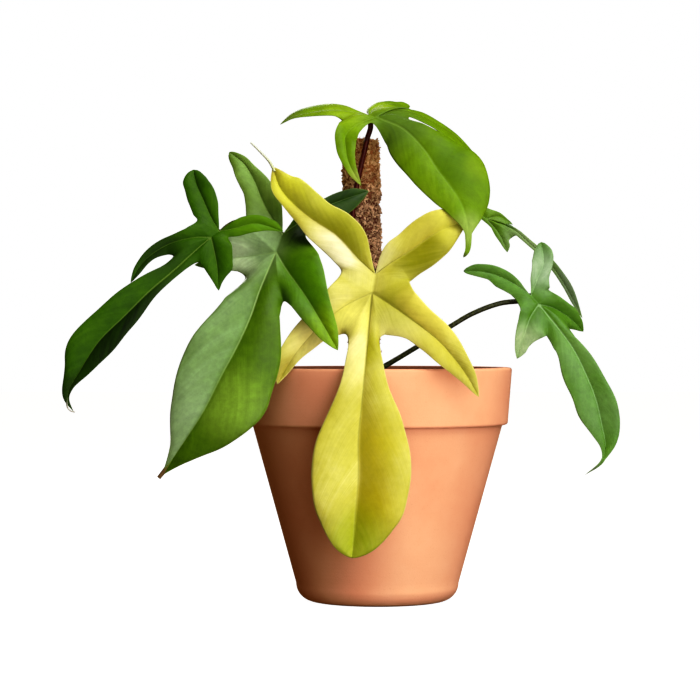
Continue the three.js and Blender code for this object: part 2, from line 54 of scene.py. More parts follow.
THROAT_OUT = 0.6
BODY_TOP_RADIUS = 83.6
BODY_FOOT_RADIUS = 54.4
WALL = 6.5
FLOOR = 9
FOOT_ROUND = 12
INSIDE_ROUND = 4
DRAIN_RADIUS = 5
DRAIN_CIRCLE_RADIUS = 24
DRAIN_COUNT = 3
DRAIN_SIDES = 24
DRILL_SPARE = 2
POT_SIDES = 192
POT_STEP = 5
CLAY_PATCH = 45.5
SALT_PATCH = 111
GRIT = 0.909
SHAPING_RINGS = 2.6
DAMP_AND_SHADE_DEPTH = (1.5, 2.5)


def linear(code):
    """sRGB hex code to the linear colour that a shader takes: the sRGB curve undone, with alpha 1."""
    part = np.array([int(code[i:i + 2], 16) for i in (1, 3, 5)]) / 255
    return (*np.where(part <= 0.04045, part / 12.92, ((part + 0.055) / 1.055) ** 2.4), 1.0)


def connect(material, node, inputs):
    """Each input, by name or number: a socket or a node's first output is linked to it, a hex
    colour is set as linear, and any other value is set as it is."""
    for key, value in inputs.items():
        if isinstance(value, bpy.types.Node):
            value = value.outputs[0]
        if isinstance(value, bpy.types.NodeSocket):
            material.node_tree.links.new(value, node.inputs[key])
        else:
            node.inputs[key].default_value = linear(value) if isinstance(value, str) else value


def add(material, kind, inputs=None, stops=(), **settings):
    """Adds one shader node: settings are its properties, and stops a ramp's places and colours.
    A mix of colours takes them at inputs 6 and 7 and gives the result at output 2."""
    made = material.node_tree.nodes.new("ShaderNode" + kind)
    for key, value in settings.items():
        setattr(made, key, value)
    if stops:
        ramp = made.color_ramp.elements
        for place, _ in stops[1:-1]:
            ramp.new(place)
        for stop, (place, colour) in zip(ramp, stops):
            stop.position = place
            stop.color = linear(colour)
    connect(material, made, inputs or {})
    return made


def new_material(name):
    """An empty node material and its surface shader."""
    material = bpy.data.materials.new(name)
    material.use_nodes = True
    return material, material.node_tree.nodes["Principled BSDF"]


def per_metre(size):
    """How often a pattern of this size in millimetres comes in a metre: a texture's scale."""
    return 1 / (size * MM)


def arc(centre, radius, start, end, count):
    """Points on a circle arc, the angles in degrees from the first axis: centre + radius (cos, sin)."""
    angle = np.radians(np.linspace(start, end, count))
    return np.stack([centre[0] + radius * np.cos(angle), centre[1] + radius * np.sin(angle)], 1)


def refine(profile, step):
    """The same outline with points no further apart than step."""
    parts = []
    for here, there in zip(profile[:-1], profile[1:]):
        count = max(1, math.ceil(math.dist(here, there) / step))
        parts.append(here + (there - here) * np.arange(count)[:, None] / count)
    return np.vstack([*parts, profile[-1:]])


def grid_faces(rows, columns, round_rows=False, round_columns=False):
    """Quads of a grid of rows by columns, closed on itself along either way."""
    row, column = np.meshgrid(
        np.arange(rows - (not round_rows)), np.arange(columns - (not round_columns)), indexing="ij")
    row, column = row.ravel(), column.ravel()
    next_row, next_column = (row + 1) % rows, (column + 1) % columns
    return np.stack([
        row * columns + column, row * columns + next_column,
        next_row * columns + next_column, next_row * columns + column], 1)


def new_object(name, points, faces):
    """A mesh object at the origin, from points in millimetres."""
    mesh = bpy.data.meshes.new(name)
    mesh.from_pydata((np.asarray(points) * MM).tolist(), [], np.asarray(faces).tolist())
    made = bpy.data.objects.new(name, mesh)
    bpy.context.scene.collection.objects.link(made)
    return made


def add_piece(name, points, faces, material, replaces=(), smooth=True, attributes=None):
    """A piece of the plant. An attribute is one number a point, stored three times over, or
    three. Doubled points at poles and seams are merged."""
    made = new_object(name, points, faces)
    mesh = made.data
    for key, values in (attributes or {}).items():
        values = np.broadcast_to(np.reshape(values, (len(points), -1)), (len(points), 3))
        layer = mesh.attributes.new(key, "FLOAT_VECTOR", "POINT")
        layer.data.foreach_set("vector", np.asarray(values, np.float32).ravel())
    work = bmesh.new()
    work.from_mesh(mesh)
    bmesh.ops.remove_doubles(work, verts=work.verts, dist=1e-7)
    bmesh.ops.dissolve_degenerate(work, edges=work.edges, dist=1e-8)
    work.to_mesh(mesh)
    work.free()
    mesh.polygons.foreach_set("use_smooth", np.full(len(mesh.polygons), smooth))
    mesh.materials.append(material)
    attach(made, "root")
    if replaces:
        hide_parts(*replaces)
    return made


def turned(profile, sides):
    """Surface of revolution: each (radius, height) of the profile at every angle round +Z."""
    angle = np.arange(sides) * 2 * np.pi / sides
    radius, height = profile[:, :1], profile[:, 1:]
    points = np.stack([radius * np.cos(angle), radius * np.sin(angle), height + 0 * angle], 2)
    return points.reshape(-1, 3), grid_faces(len(profile), sides, round_columns=True)


def rod_profile(radius, foot, top):
    """The section of a plain round rod, from the axis at its foot to the axis at its top."""
    return np.array([[0, foot], [radius, foot], [radius, top], [0, top]], float)


def inner_radius(height):
    """The radius of the pot's inside, which widens evenly from the floor to the rim."""
    share = (height - FLOOR) / (POT_HEIGHT - FLOOR)
    return BODY_FOOT_RADIUS - WALL + share * (RIM_RADIUS - RIM_THICKNESS - BODY_FOOT_RADIUS + WALL)


def pot_profile():
    """The pot's section from the axis under the floor, up the outside and down the inside."""
    rim_foot = POT_HEIGHT - RIM_HEIGHT
    rim_inside = RIM_RADIUS - RIM_THICKNESS
    edge_height = POT_HEIGHT - RIM_EDGE
    return np.vstack([
        [[0, 0]],
        arc((BODY_FOOT_RADIUS - FOOT_ROUND, FOOT_ROUND), FOOT_ROUND, -90, 0, 12),
        [[BODY_TOP_RADIUS - THROAT_IN, rim_foot - THROAT_HEIGHT], [BODY_TOP_RADIUS + THROAT_OUT, rim_foot]],
        arc((RIM_FOOT_RADIUS - RIM_EDGE, rim_foot + RIM_EDGE), RIM_EDGE, -90, 0, 7),
        arc((RIM_RADIUS - RIM_EDGE, edge_height), RIM_EDGE, 0, 90, 7),
        arc((rim_inside + RIM_EDGE, edge_height), RIM_EDGE, 90, 180, 7),
        [[inner_radius(FLOOR + INSIDE_ROUND), FLOOR + INSIDE_ROUND]],
        [[inner_radius(FLOOR) - INSIDE_ROUND, FLOOR], [0, FLOOR]],
    ])


def terracotta():
    """Unglazed red earthenware, fired once: matte, faintly speckled, with soft rings from the
    shaping rib and paler salts that water has carried out to the surface. Its inside is dark with
    damp from the mix and with painted shade on the inner wall."""
    material, shader = new_material("unglazed_terracotta")
    place = add(material, "TexCoord").outputs["Object"]
    patch = add(material, "TexNoise", {
        "Vector": place, "Scale": per_metre(CLAY_PATCH), "Detail": 5, "Roughness": 0.55})
    clay = add(material, "ValToRGB", {0: patch}, stops=((0.32, "#e9a480"), (0.68, "#efb08c")))
    grit = add(material, "TexNoise", {"Vector": place, "Scale": per_metre(GRIT), "Detail": 2})
    specks = add(material, "MapRange", {0: grit, "From Min": 0.36, "From Max": 0.28, "To Max": 0.18})
    speckled = add(material, "Mix", {"Factor": specks, 6: clay, 7: "#b87450"}, data_type="RGBA")
    salts = add(material, "TexNoise", {
        "Vector": place, "Scale": per_metre(SALT_PATCH), "Detail": 8, "Roughness": 0.7})
    bloom = add(material, "MapRange", {0: salts, "From Min": 0.52, "From Max": 0.8, "To Max": 0.3})
    dusted = add(material, "Mix", {
        "Factor": bloom, 6: speckled.outputs[2], 7: "#eebb9c"}, data_type="RGBA")
    height = add(material, "SeparateXYZ", {0: place}).outputs["Z"]
    flat = add(material, "VectorMath", {0: place, 1: (1, 1, 0)}, operation="MULTIPLY")
    radius = add(material, "VectorMath", {0: flat}, operation="LENGTH").outputs["Value"]
    slope = (inner_radius(POT_HEIGHT) - inner_radius(0)) / POT_HEIGHT
    mid_wall = add(material, "Math", {
        0: height, 1: slope, 2: (inner_radius(0) + WALL / 2) * MM}, operation="MULTIPLY_ADD")
    inward = add(material, "Math", {0: mid_wall, 1: radius}, operation="SUBTRACT")
    # Painted shade: the inner face of the wall is coloured darker, for the shade inside the pot as well as
    # the damp of the mix.
    damp_and_shade_share = add(material, "MapRange", {
        0: inward, "From Min": DAMP_AND_SHADE_DEPTH[0] * MM, "From Max": DAMP_AND_SHADE_DEPTH[1] * MM, "To Max": 0.85})
    damp = add(material, "Mix", {"Factor": damp_and_shade_share, 6: dusted.outputs[2], 7: "#6b3a24"}, data_type="RGBA")
    turns = add(material, "Math", {
        0: height, 1: 2 * math.pi * per_metre(SHAPING_RINGS)}, operation="MULTIPLY")
    ring = add(material, "Math", {0: turns}, operation="SINE")
    relief = add(material, "Math", {0: ring, 1: 0.06, 2: grit}, operation="MULTIPLY_ADD")
    bump = add(material, "Bump", {"Height": relief, "Strength": 0.14, "Distance": 0.6 * MM})
    connect(material, shader, {
        "Base Color": damp.outputs[2], "Normal": bump, "Roughness": 0.8, "Specular IOR Level": 0.25})
    return material


points, faces = turned(refine(pot_profile(), POT_STEP), POT_SIDES)
pot = add_piece("terracotta_pot", points, faces, terracotta(), ["pot"])
for hole in range(DRAIN_COUNT):
    angle = hole / DRAIN_COUNT * 2 * math.pi
    middle = [DRAIN_CIRCLE_RADIUS * math.cos(angle), DRAIN_CIRCLE_RADIUS * math.sin(angle), 0]
    points, faces = turned(rod_profile(DRAIN_RADIUS, -DRILL_SPARE, FLOOR + DRILL_SPARE), DRAIN_SIDES)
    drill = new_object("drill", points + middle, faces)
    cut = pot.modifiers.new("drain", "BOOLEAN")
    cut.object = drill
    cut.operation = "DIFFERENCE"
    bpy.context.view_layer.update()
    holed = bpy.data.meshes.new_from_object(pot.evaluated_get(bpy.context.evaluated_depsgraph_get()))
    pot.modifiers.remove(cut)
    pot.data = holed
    bpy.data.objects.remove(drill)

# Potting mix
# Chunky aroid mix that fills the pot to a finger below the rim: pine bark, coir crumb and
# white perlite, loose and damp. The pole and the stem stand in it.
SOIL_LEVEL = 144
SOIL_UNEVEN = 1.6
SOIL_WAVES = (9, 7)
SOIL_GAP = 0.4
SOIL_LEVEL_EDGE = 4
SOIL_RINGS = 60
SOIL_SIDES = 120
SOIL_CRUMBS = 0.5
BARK_COUNT = 1500
BARK_FORM = (1.5, 1, 0.55)
PERLITE_COUNT = 260
PERLITE_FORM = (1, 1, 0.9)
GRAIN_RADIUS = (0.9, 3.2)
GRAIN_CLEAR = 1.5
GRAIN_FROM_WALL = 0.5
BEAD_END = 0.8
BEAD_RADIUS = 0.9
BEAD_RING = 0.35
BEAD_PULL = 0.35
CRUMB = 3.85
CRUMBLE = 1.43
PERLITE_PORE = 0.667
POLE = {"x": -6.2, "y": 4, "top": 309.5, "foot": 100, "lean": 0.0149}
COIR_FOOT_RADIUS = 9.7
STEM = {"x": -9, "y": -15.5, "top": 216, "foot": 112, "radius": 5, "tip": 3.4}
chance = np.random.default_rng(7)


def pole_axis(height):
    """The pole's middle at a height: it leans left, in step with the height."""
    height = np.asarray(height, float)
    return np.stack([POLE["x"] - POLE["lean"] * height, POLE["y"] + 0 * height, height], -1)


def heap_height(x, y):
    """The mix's surface: its level and two crossed waves."""
    return SOIL_LEVEL + SOIL_UNEVEN * np.sin(x / SOIL_WAVES[0] + 1) * np.cos(y / SOIL_WAVES[1])


def lumps(centres, radii, form):
    """Small stones: at each centre a bead of two rings of six corners between two ends, its
    corners pulled about, stretched to the form and turned three ways at random."""
    here = np.arange(6)
    there = (here + 1) % 6
    ring = BEAD_RADIUS * np.stack([np.cos(here * np.pi / 3), np.sin(here * np.pi / 3), 0 * here], 1)
    bead = np.vstack([
        [[0, 0, -BEAD_END]], ring - [0, 0, BEAD_RING], ring + [0, 0, BEAD_RING], [[0, 0, BEAD_END]]])
    stencil = np.vstack([
        np.stack([0 * here, 1 + there, 1 + here], 1),
        np.stack([1 + here, 1 + there, 7 + there], 1),
        np.stack([1 + here, 7 + there, 7 + here], 1),
        np.stack([0 * here + 13, 7 + here, 7 + there], 1)])
    count = len(centres)
    pull = 1 + BEAD_PULL * chance.uniform(-1, 1, (count, len(bead), 1))
    shape = bead[None] * radii[:, None, None] * pull * form
    angles = chance.uniform(0, 2 * np.pi, (3, count))
    for (first, second), angle in zip(((0, 1), (1, 2), (2, 0)), angles):
        cos, sin = np.cos(angle)[:, None], np.sin(angle)[:, None]
        a, b = shape[..., first].copy(), shape[..., second].copy()
        shape[..., first], shape[..., second] = a * cos - b * sin, a * sin + b * cos
    points = (shape + centres[:, None]).reshape(-1, 3)
    faces = (stencil[None] + (np.arange(count) * len(bead))[:, None, None]).reshape(-1, 3)
    return points, faces


def potting_mix():
    """Damp bark and coir crumb: near-black brown, each crumb its own shade, dull all over."""
    material, shader = new_material("damp_bark_mix")
    place = add(material, "TexCoord").outputs["Object"]
    crumb = add(material, "TexVoronoi", {"Vector": place, "Scale": per_metre(CRUMB)})
    shade = add(material, "ValToRGB", {0: crumb.outputs["Color"]}, stops=((0, "#1d130d"), (1, "#4d3524")))
    crumble = add(material, "TexNoise", {
        "Vector": place, "Scale": per_metre(CRUMBLE), "Detail": 6, "Roughness": 0.7})
    bump = add(material, "Bump", {"Height": crumble, "Strength": 0.9, "Distance": 1.5 * MM})
    connect(material, shader, {"Base Color": shade, "Normal": bump, "Roughness": 0.92})
    return material


def perlite_glass():
    """Expanded volcanic glass: chalk-white foam grains, dull, darker grey in their hollows."""
    material, shader = new_material("white_perlite")
    place = add(material, "TexCoord").outputs["Object"]
    pores = add(material, "TexNoise", {"Vector": place, "Scale": per_metre(PERLITE_PORE), "Detail": 3})
    shade = add(material, "ValToRGB", {0: pores}, stops=((0, "#a39c8e"), (1, "#e9e5da")))
    bump = add(material, "Bump", {"Height": pores, "Strength": 0.8, "Distance": 0.4 * MM})
    connect(material, shader, {"Base Color": shade, "Normal": bump, "Roughness": 0.85})
    return material


def scatter(count, reach):
    """Places on the mix, evenly spread over a disc: radius reach sqrt(u), clear of the pole and stem."""
    radius = reach * np.sqrt(chance.uniform(0, 1, count))
    angle = chance.uniform(0, 2 * np.pi, count)
    x, y = radius * np.cos(angle), radius * np.sin(angle)
    pole = pole_axis(SOIL_LEVEL)
    clear = np.hypot(x - pole[0], y - pole[1]) > COIR_FOOT_RADIUS + GRAIN_CLEAR
    clear &= np.hypot(x - STEM["x"], y - STEM["y"]) > STEM["radius"] + GRAIN_CLEAR
    x, y = x[clear], y[clear]
    return np.stack([x, y, heap_height(x, y)], 1)


mix = potting_mix()
mix_foot = FLOOR + SOIL_GAP
mix_edge = inner_radius(SOIL_LEVEL) - SOIL_GAP
points, faces = turned(np.vstack([
    [[0, mix_foot], [inner_radius(FLOOR) - INSIDE_ROUND - SOIL_GAP, mix_foot]],
    [[inner_radius(FLOOR + INSIDE_ROUND) - SOIL_GAP, mix_foot + INSIDE_ROUND]],
    np.stack([np.linspace(mix_edge, 0, SOIL_RINGS), np.full(SOIL_RINGS, float(SOIL_LEVEL))], 1),
]), SOIL_SIDES)
x, y, height = points.T
from_wall = np.clip((mix_edge - np.hypot(x, y)) / SOIL_LEVEL_EDGE, 0, 1)
crumbs = SOIL_CRUMBS * chance.uniform(-1, 1, len(points)) * from_wall
heaped = SOIL_LEVEL + (heap_height(x, y) - SOIL_LEVEL + crumbs) * from_wall
points[:, 2] = np.where(height > SOIL_LEVEL - 1, heaped, height)
add_piece("potting_mix", points, faces, mix, ["soil"])

for name, count, material, form in (
    ("bark_chips", BARK_COUNT, mix, BARK_FORM),
    ("perlite", PERLITE_COUNT, perlite_glass(), PERLITE_FORM),
):
    centres = scatter(count, mix_edge - GRAIN_RADIUS[1] - GRAIN_FROM_WALL)
    radii = GRAIN_RADIUS[0] + (GRAIN_RADIUS[1] - GRAIN_RADIUS[0]) * chance.uniform(0, 1, len(centres)) ** 2
    points, faces = lumps(centres, radii, form)
    add_piece(name, points, faces, material, smooth=False)

# Coir pole
# A round wooden stake wrapped in a sleeve of coconut fibre, needled and bound into a felt that
# aerial roots can grip. It is pushed into the mix and leans a little.
STAKE_RADIUS = 5
STAKE_FOOT = 14
STAKE_SUNK = 3
STAKE_SIDES = 32
STAKE_STEP = 8
WOOD_GRAIN = 1.11
COIR_RADIUS = 12
COIR_PRESSED = 40
COIR_SWELL = 35
COIR_LUMP = 0.8
COIR_WEAR = 1.4
COIR_WORN = 20
COIR_RAGGED = 1.4
COIR_RAGGED_ROWS = 1.5
COIR_STEP = 1.2
COIR_SIDES = 96
COIR_BORE_GAP = 0.3
FELT_SUNK = 0.5
FELT_ROUGH = 0.35
BURIED = 2
CHIP_COUNT = 5200
CHIP_RADIUS = (0.5, 1.25)
CHIP_FORM = (1.7, 0.9, 0.5)
CHIP_LIFT = (-0.6, 0.4)
FIBRE_COUNT = 1100
FIBRE_RADIUS = 0.15
FIBRE_LENGTH = (5, 16)
FIBRE_SLOPE = 1.3
FIBRE_BEND = 3
FIBRE_LIFT = (-0.3, 0.5)
FIBRE_STRAY = 0.35
FIBRE_STEPS = 7
HUSK_FLECK = 2.381
PAINTED_LIGHT_HEIGHT = (265, 295)


def coir_radius(angle, height):
    """The sleeve's radius: its foot's, pressed thin by the roots, swelling from 40 to 75 mm above
    the mix into a lumpy felt: lump (sin(3 angle + height/11) cos(height/7 + 2 angle) + half a
    shorter ripple), and worn back over its last 20 mm."""
    rise = np.clip((height - SOIL_LEVEL - COIR_PRESSED) / COIR_SWELL, 0, 1)
    lump = np.sin(3 * angle + height / 11) * np.cos(height / 7 + 2 * angle)
    ripple = 0.5 * np.sin(height / 1.9 + 3 * angle) * np.sin(height / 9 - 4 * angle)
    worn = COIR_WEAR * np.clip((height - POLE["top"] + COIR_WORN) / COIR_WORN, 0, 1)
    return COIR_FOOT_RADIUS + rise * (COIR_RADIUS - COIR_FOOT_RADIUS + COIR_LUMP * (lump + ripple)) - worn


def round_pole(radius, angle, height):
    """Points at a distance and angle from the pole's leaning middle."""
    points = np.stack([radius * np.cos(angle), radius * np.sin(angle), height], -1)
    points[..., :2] += pole_axis(height)[..., :2]
    return points


def wood_stake():
    """Turned softwood dowel: pale brown, long grain along its length, dry and unfinished."""
    material, shader = new_material("softwood_dowel")
    place = add(material, "TexCoord").outputs["Object"]
    stretch = add(material, "Mapping", {"Vector": place, "Scale": (1, 1, 0.05)})
    grain = add(material, "TexNoise", {"Vector": stretch, "Scale": per_metre(WOOD_GRAIN), "Detail": 4})
    shade = add(material, "ValToRGB", {0: grain}, stops=((0, "#7d5c3a"), (1, "#b6915f")))
    connect(material, shader, {"Base Color": shade, "Roughness": 0.75})
    return material


def coir_fibre():
    """Coconut husk fibre: rust brown, greyer where it has been watered, and painted paler and more
    orange over the top of the pole as painted light. The sleeve under the chips shows as dark pits
    between strands, which is painted shade. The attribute gives each strand its own tone."""
    material, shader = new_material("coconut_fibre")
    place = add(material, "TexCoord").outputs["Object"]
    height = add(material, "SeparateXYZ", {0: place}).outputs["Z"]
    own = add(material, "Attribute", attribute_name="strand")
    tint = add(material, "SeparateXYZ", {0: own.outputs["Vector"]})
    fleck = add(material, "TexNoise", {
        "Vector": place, "Scale": per_metre(HUSK_FLECK), "Detail": 4, "Roughness": 0.7})
    level = add(material, "Math", {0: fleck, 1: 0.6, 2: tint}, operation="MULTIPLY_ADD")
    # Painted light: over the top of the pole, from 265 mm up, the colours turn paler and brighter, standing
    # in for light that the top leaf keeps off it. dry is the share of them.
    painted_light_top = add(material, "ValToRGB", {0: level}, stops=((0.3, "#c47e48"), (1, "#ffd498")))
    aged = add(material, "ValToRGB", {0: level}, stops=((0.3, "#744430"), (1, "#e6bc94")))
    dry = add(material, "MapRange", {
        0: height, "From Min": PAINTED_LIGHT_HEIGHT[0] * MM, "From Max": PAINTED_LIGHT_HEIGHT[1] * MM})
    shade = add(material, "Mix", {"Factor": dry, 6: aged, 7: painted_light_top}, data_type="RGBA")
    bump = add(material, "Bump", {"Height": fleck, "Strength": 1, "Distance": 1 * MM})
    connect(material, shader, {"Base Color": shade.outputs[2], "Normal": bump, "Roughness": 0.9})
    return material


def rings(path, sides, fixed):
    """A circle of radius 1 across the path at each of its points: side cos(turn) + other
    sin(turn), where side lies across both the path and a fixed direction that it never takes, so
    that the circles don't twist, and other lies across both the path and side."""
    along = np.gradient(path, axis=-2)
    along /= np.linalg.norm(along, axis=-1, keepdims=True)
    side = np.cross(along, fixed)
    side /= np.linalg.norm(side, axis=-1, keepdims=True)
    other = np.cross(along, side)
    turn = np.arange(sides)[:, None] * 2 * np.pi / sides
    return side[..., None, :] * np.cos(turn) + other[..., None, :] * np.sin(turn)


def strands(paths, radius):
    """Three-sided tubes, a ring at each point of a path, tapering at both ends. The paths are an
    array of (count, steps, 3)."""
    count, steps, _ = paths.shape
    taper = np.sin(np.linspace(0.15, np.pi - 0.15, steps)) ** 0.5
    girth = (radius[:, None] * taper)[:, :, None, None]
    points = paths[:, :, None] + rings(paths, 3, [0.31, 0.27, 0.91]) * girth
    last = 3 * steps - 1
    stencil = np.vstack([
        grid_faces(steps, 3, round_columns=True), [[2, 1, 0, 0], [last - 2, last - 1, last, last]]])
    faces = (stencil[None] + (np.arange(count) * steps * 3)[:, None, None]).reshape(-1, 4)
    return points.reshape(-1, 3), faces


points, faces = turned(
    refine(rod_profile(STAKE_RADIUS, STAKE_FOOT, POLE["top"] - STAKE_SUNK), STAKE_STEP), STAKE_SIDES)
points[:, :2] += pole_axis(points[:, 2])[:, :2]
add_piece("stake", points, faces, wood_stake(), ["pole_stake"])

heights = np.arange(POLE["foot"], POLE["top"], COIR_STEP)
height, angle = np.meshgrid(heights, np.arange(COIR_SIDES) * 2 * np.pi / COIR_SIDES, indexing="ij")
outer = coir_radius(angle, height) - FELT_SUNK + FELT_ROUGH * chance.uniform(-1, 1, height.shape)
radius = np.vstack([outer, np.full_like(outer, STAKE_RADIUS + COIR_BORE_GAP)])
height = np.vstack([height, height[::-1]])
angle = np.vstack([angle, angle])
height = height - np.where(height > POLE["top"] - COIR_RAGGED_ROWS, COIR_RAGGED * np.cos(angle), 0)
faces = grid_faces(len(radius), COIR_SIDES, round_rows=True, round_columns=True)
coir = coir_fibre()
# Painted shade: the sleeve under the chips takes the darkest colour, so it shows as dark pits between them.
add_piece(
    "coir_sleeve", round_pole(radius, angle, height).reshape(-1, 3), faces, coir, ["pole_coir"],
    attributes={"strand": np.zeros(radius.size)})

height = chance.uniform(SOIL_LEVEL - BURIED, POLE["top"] - 0.5, CHIP_COUNT)
angle = chance.uniform(0, 2 * np.pi, CHIP_COUNT)
centres = round_pole(coir_radius(angle, height) + chance.uniform(*CHIP_LIFT, CHIP_COUNT), angle, height)
size = CHIP_RADIUS[0] + (CHIP_RADIUS[1] - CHIP_RADIUS[0]) * chance.uniform(0, 1, CHIP_COUNT) ** 1.5
points, faces = lumps(centres, size, CHIP_FORM)
shade = np.repeat(chance.uniform(0.25, 1, CHIP_COUNT), len(points) // CHIP_COUNT)
add_piece("coir_chips", points, faces, coir, smooth=False, attributes={"strand": shade})

step = np.linspace(-0.5, 0.5, FIBRE_STEPS)
height, angle, slope, length, bend = (chance.uniform(low, high, FIBRE_COUNT)[:, None] for low, high in (
    (SOIL_LEVEL - BURIED, POLE["top"] - 1), (0, 2 * np.pi), (-FIBRE_SLOPE, FIBRE_SLOPE), FIBRE_LENGTH,
    (-FIBRE_BEND, FIBRE_BEND)))
height = height + length * np.sin(slope) * step + bend * (step ** 2 - 0.08)
height = np.clip(height, SOIL_LEVEL - BURIED - 1, POLE["top"] + 0.4)
angle = angle + length * np.cos(slope) * step / COIR_RADIUS
lift = chance.uniform(*FIBRE_LIFT, FIBRE_COUNT)[:, None]
lift = lift + chance.exponential(FIBRE_STRAY, FIBRE_COUNT)[:, None] * (2 * step) ** 2
paths = round_pole(coir_radius(angle, height) + lift, angle, height)
points, faces = strands(paths, FIBRE_RADIUS * chance.uniform(0.6, 1.5, FIBRE_COUNT))
shade = np.repeat(chance.uniform(0.2, 0.8, FIBRE_COUNT), FIBRE_STEPS * 3)
add_piece("coir_strands", points, faces, coir, attributes={"strand": shade})

# Stem
# The vine itself, a finger-thin green cane that climbs the front of the pole, ringed with a
# swollen joint and a papery scar where each leaf stalk grows. It roots in the mix.
STEM_CLEAR = 3
STEM_JOINTS = 6
STEM_STEPS = 140
STEM_SIDES = 40
STEM_ROOTED = 0.95
BETWEEN_JOINTS = 0.85
JOINT_SWELL = 0.22
JOINT_SHARE = 0.13
SCAR_FROM_JOINT = 0.06
SCAR_SHARE = 0.03
CANE_LINE = 1.11


def centripetal(points, at):
    """Centripetal Catmull-Rom curve through the points. `at` counts in points from the first."""
    p = np.asarray(points, float)
    p = np.vstack([2 * p[0] - p[1], p, 2 * p[-1] - p[-2]])
    i = np.clip(at.astype(int), 0, len(points) - 2)
    t = (at - i)[:, None]
    q = [p[i + k] for k in range(4)]
    gap = [np.linalg.norm(q[k + 1] - q[k], axis=1, keepdims=True) ** 0.5 for k in range(3)]
    leave = (q[1] - q[0]) / gap[0] - (q[2] - q[0]) / (gap[0] + gap[1]) + (q[2] - q[1]) / gap[1]
    reach = (q[2] - q[1]) / gap[1] - (q[3] - q[1]) / (gap[1] + gap[2]) + (q[3] - q[2]) / gap[2]
    leave, reach = leave * gap[1], reach * gap[1]
    bent = 3 * (q[2] - q[1]) - 2 * leave - reach
    return q[1] + t * (leave + t * (bent + t * (2 * (q[1] - q[2]) + leave + reach)))


def even_curve(points, count):
    """The same curve as `count` points evenly spaced along its length, and that length."""
    fine = centripetal(points, np.linspace(0, len(points) - 1, 40 * len(points)))
    run = np.concatenate([[0], np.cumsum(np.linalg.norm(np.diff(fine, axis=0), axis=1))])
    at = np.linspace(0, run[-1], count)
    return np.stack([np.interp(at, run, fine[:, k]) for k in range(3)], 1), run[-1]


def tube(path, radius, sides):
    """A round tube: a ring across the path at each point, and at its ends one drawn in to the
    path, which closes it."""
    body = path[:, None] + rings(path, sides, [0.9, 0.1, 0.05]) * radius[:, None, None]
    foot, top = (np.repeat(path[[end]], sides, 0)[None] for end in (0, -1))
    points = np.concatenate([foot, body, top])
    return points.reshape(-1, 3), grid_faces(len(points), sides, round_columns=True)


def round_tube(values, sides):
    """A number for each ring of a tube given to all its points, its two ends' points included."""
    return np.repeat(np.concatenate([values[:1], values, values[-1:]]), sides)


def green_cane():
    """Young aroid stem: waxy olive green with tan scars at the joints and fine pale lines."""
    material, shader = new_material("waxy_green_cane")
    place = add(material, "TexCoord").outputs["Object"]
    stretch = add(material, "Mapping", {"Vector": place, "Scale": (1, 1, 0.15)})
    lines = add(material, "TexNoise", {"Vector": stretch, "Scale": per_metre(CANE_LINE), "Detail": 3})
    shade = add(material, "ValToRGB", {0: lines}, stops=((0.3, "#3c4a1a"), (0.75, "#75803a")))
    own = add(material, "Attribute", attribute_name="scar")
    scar = add(material, "SeparateXYZ", {0: own.outputs["Vector"]})
    marked = add(material, "Mix", {"Factor": scar, 6: shade, 7: "#8a6b44"}, data_type="RGBA")
    bump = add(material, "Bump", {"Height": lines, "Strength": 0.4, "Distance": 0.3 * MM})
    connect(material, shader, {"Base Color": marked.outputs[2], "Normal": bump, "Roughness": 0.5})
    return material


heights = np.linspace(STEM["foot"], STEM["top"], STEM_STEPS)
bare_foot = SOIL_LEVEL + STEM_CLEAR
climb = np.clip((heights - bare_foot) / (STEM["top"] - bare_foot), 0, 1)
beat = np.abs(((climb * STEM_JOINTS) % 1) - 0.5)
swollen = BETWEEN_JOINTS + JOINT_SWELL * np.exp(-(beat / JOINT_SHARE) ** 2)
girth = (STEM["radius"] + climb * (STEM["tip"] - STEM["radius"])) * np.where(climb > 0, swollen, STEM_ROOTED)
spine = np.stack([np.full(STEM_STEPS, STEM["x"]), np.full(STEM_STEPS, STEM["y"]), heights], 1).astype(float)
points, faces = tube(spine, girth, STEM_SIDES)
scar = np.where(climb > 0, np.exp(-((beat - SCAR_FROM_JOINT) / SCAR_SHARE) ** 2), 0)
add_piece(
    "vine_stem", points, faces, green_cane(), ["stem"],
    attributes={"scar": round_tube(scar, STEM_SIDES)})

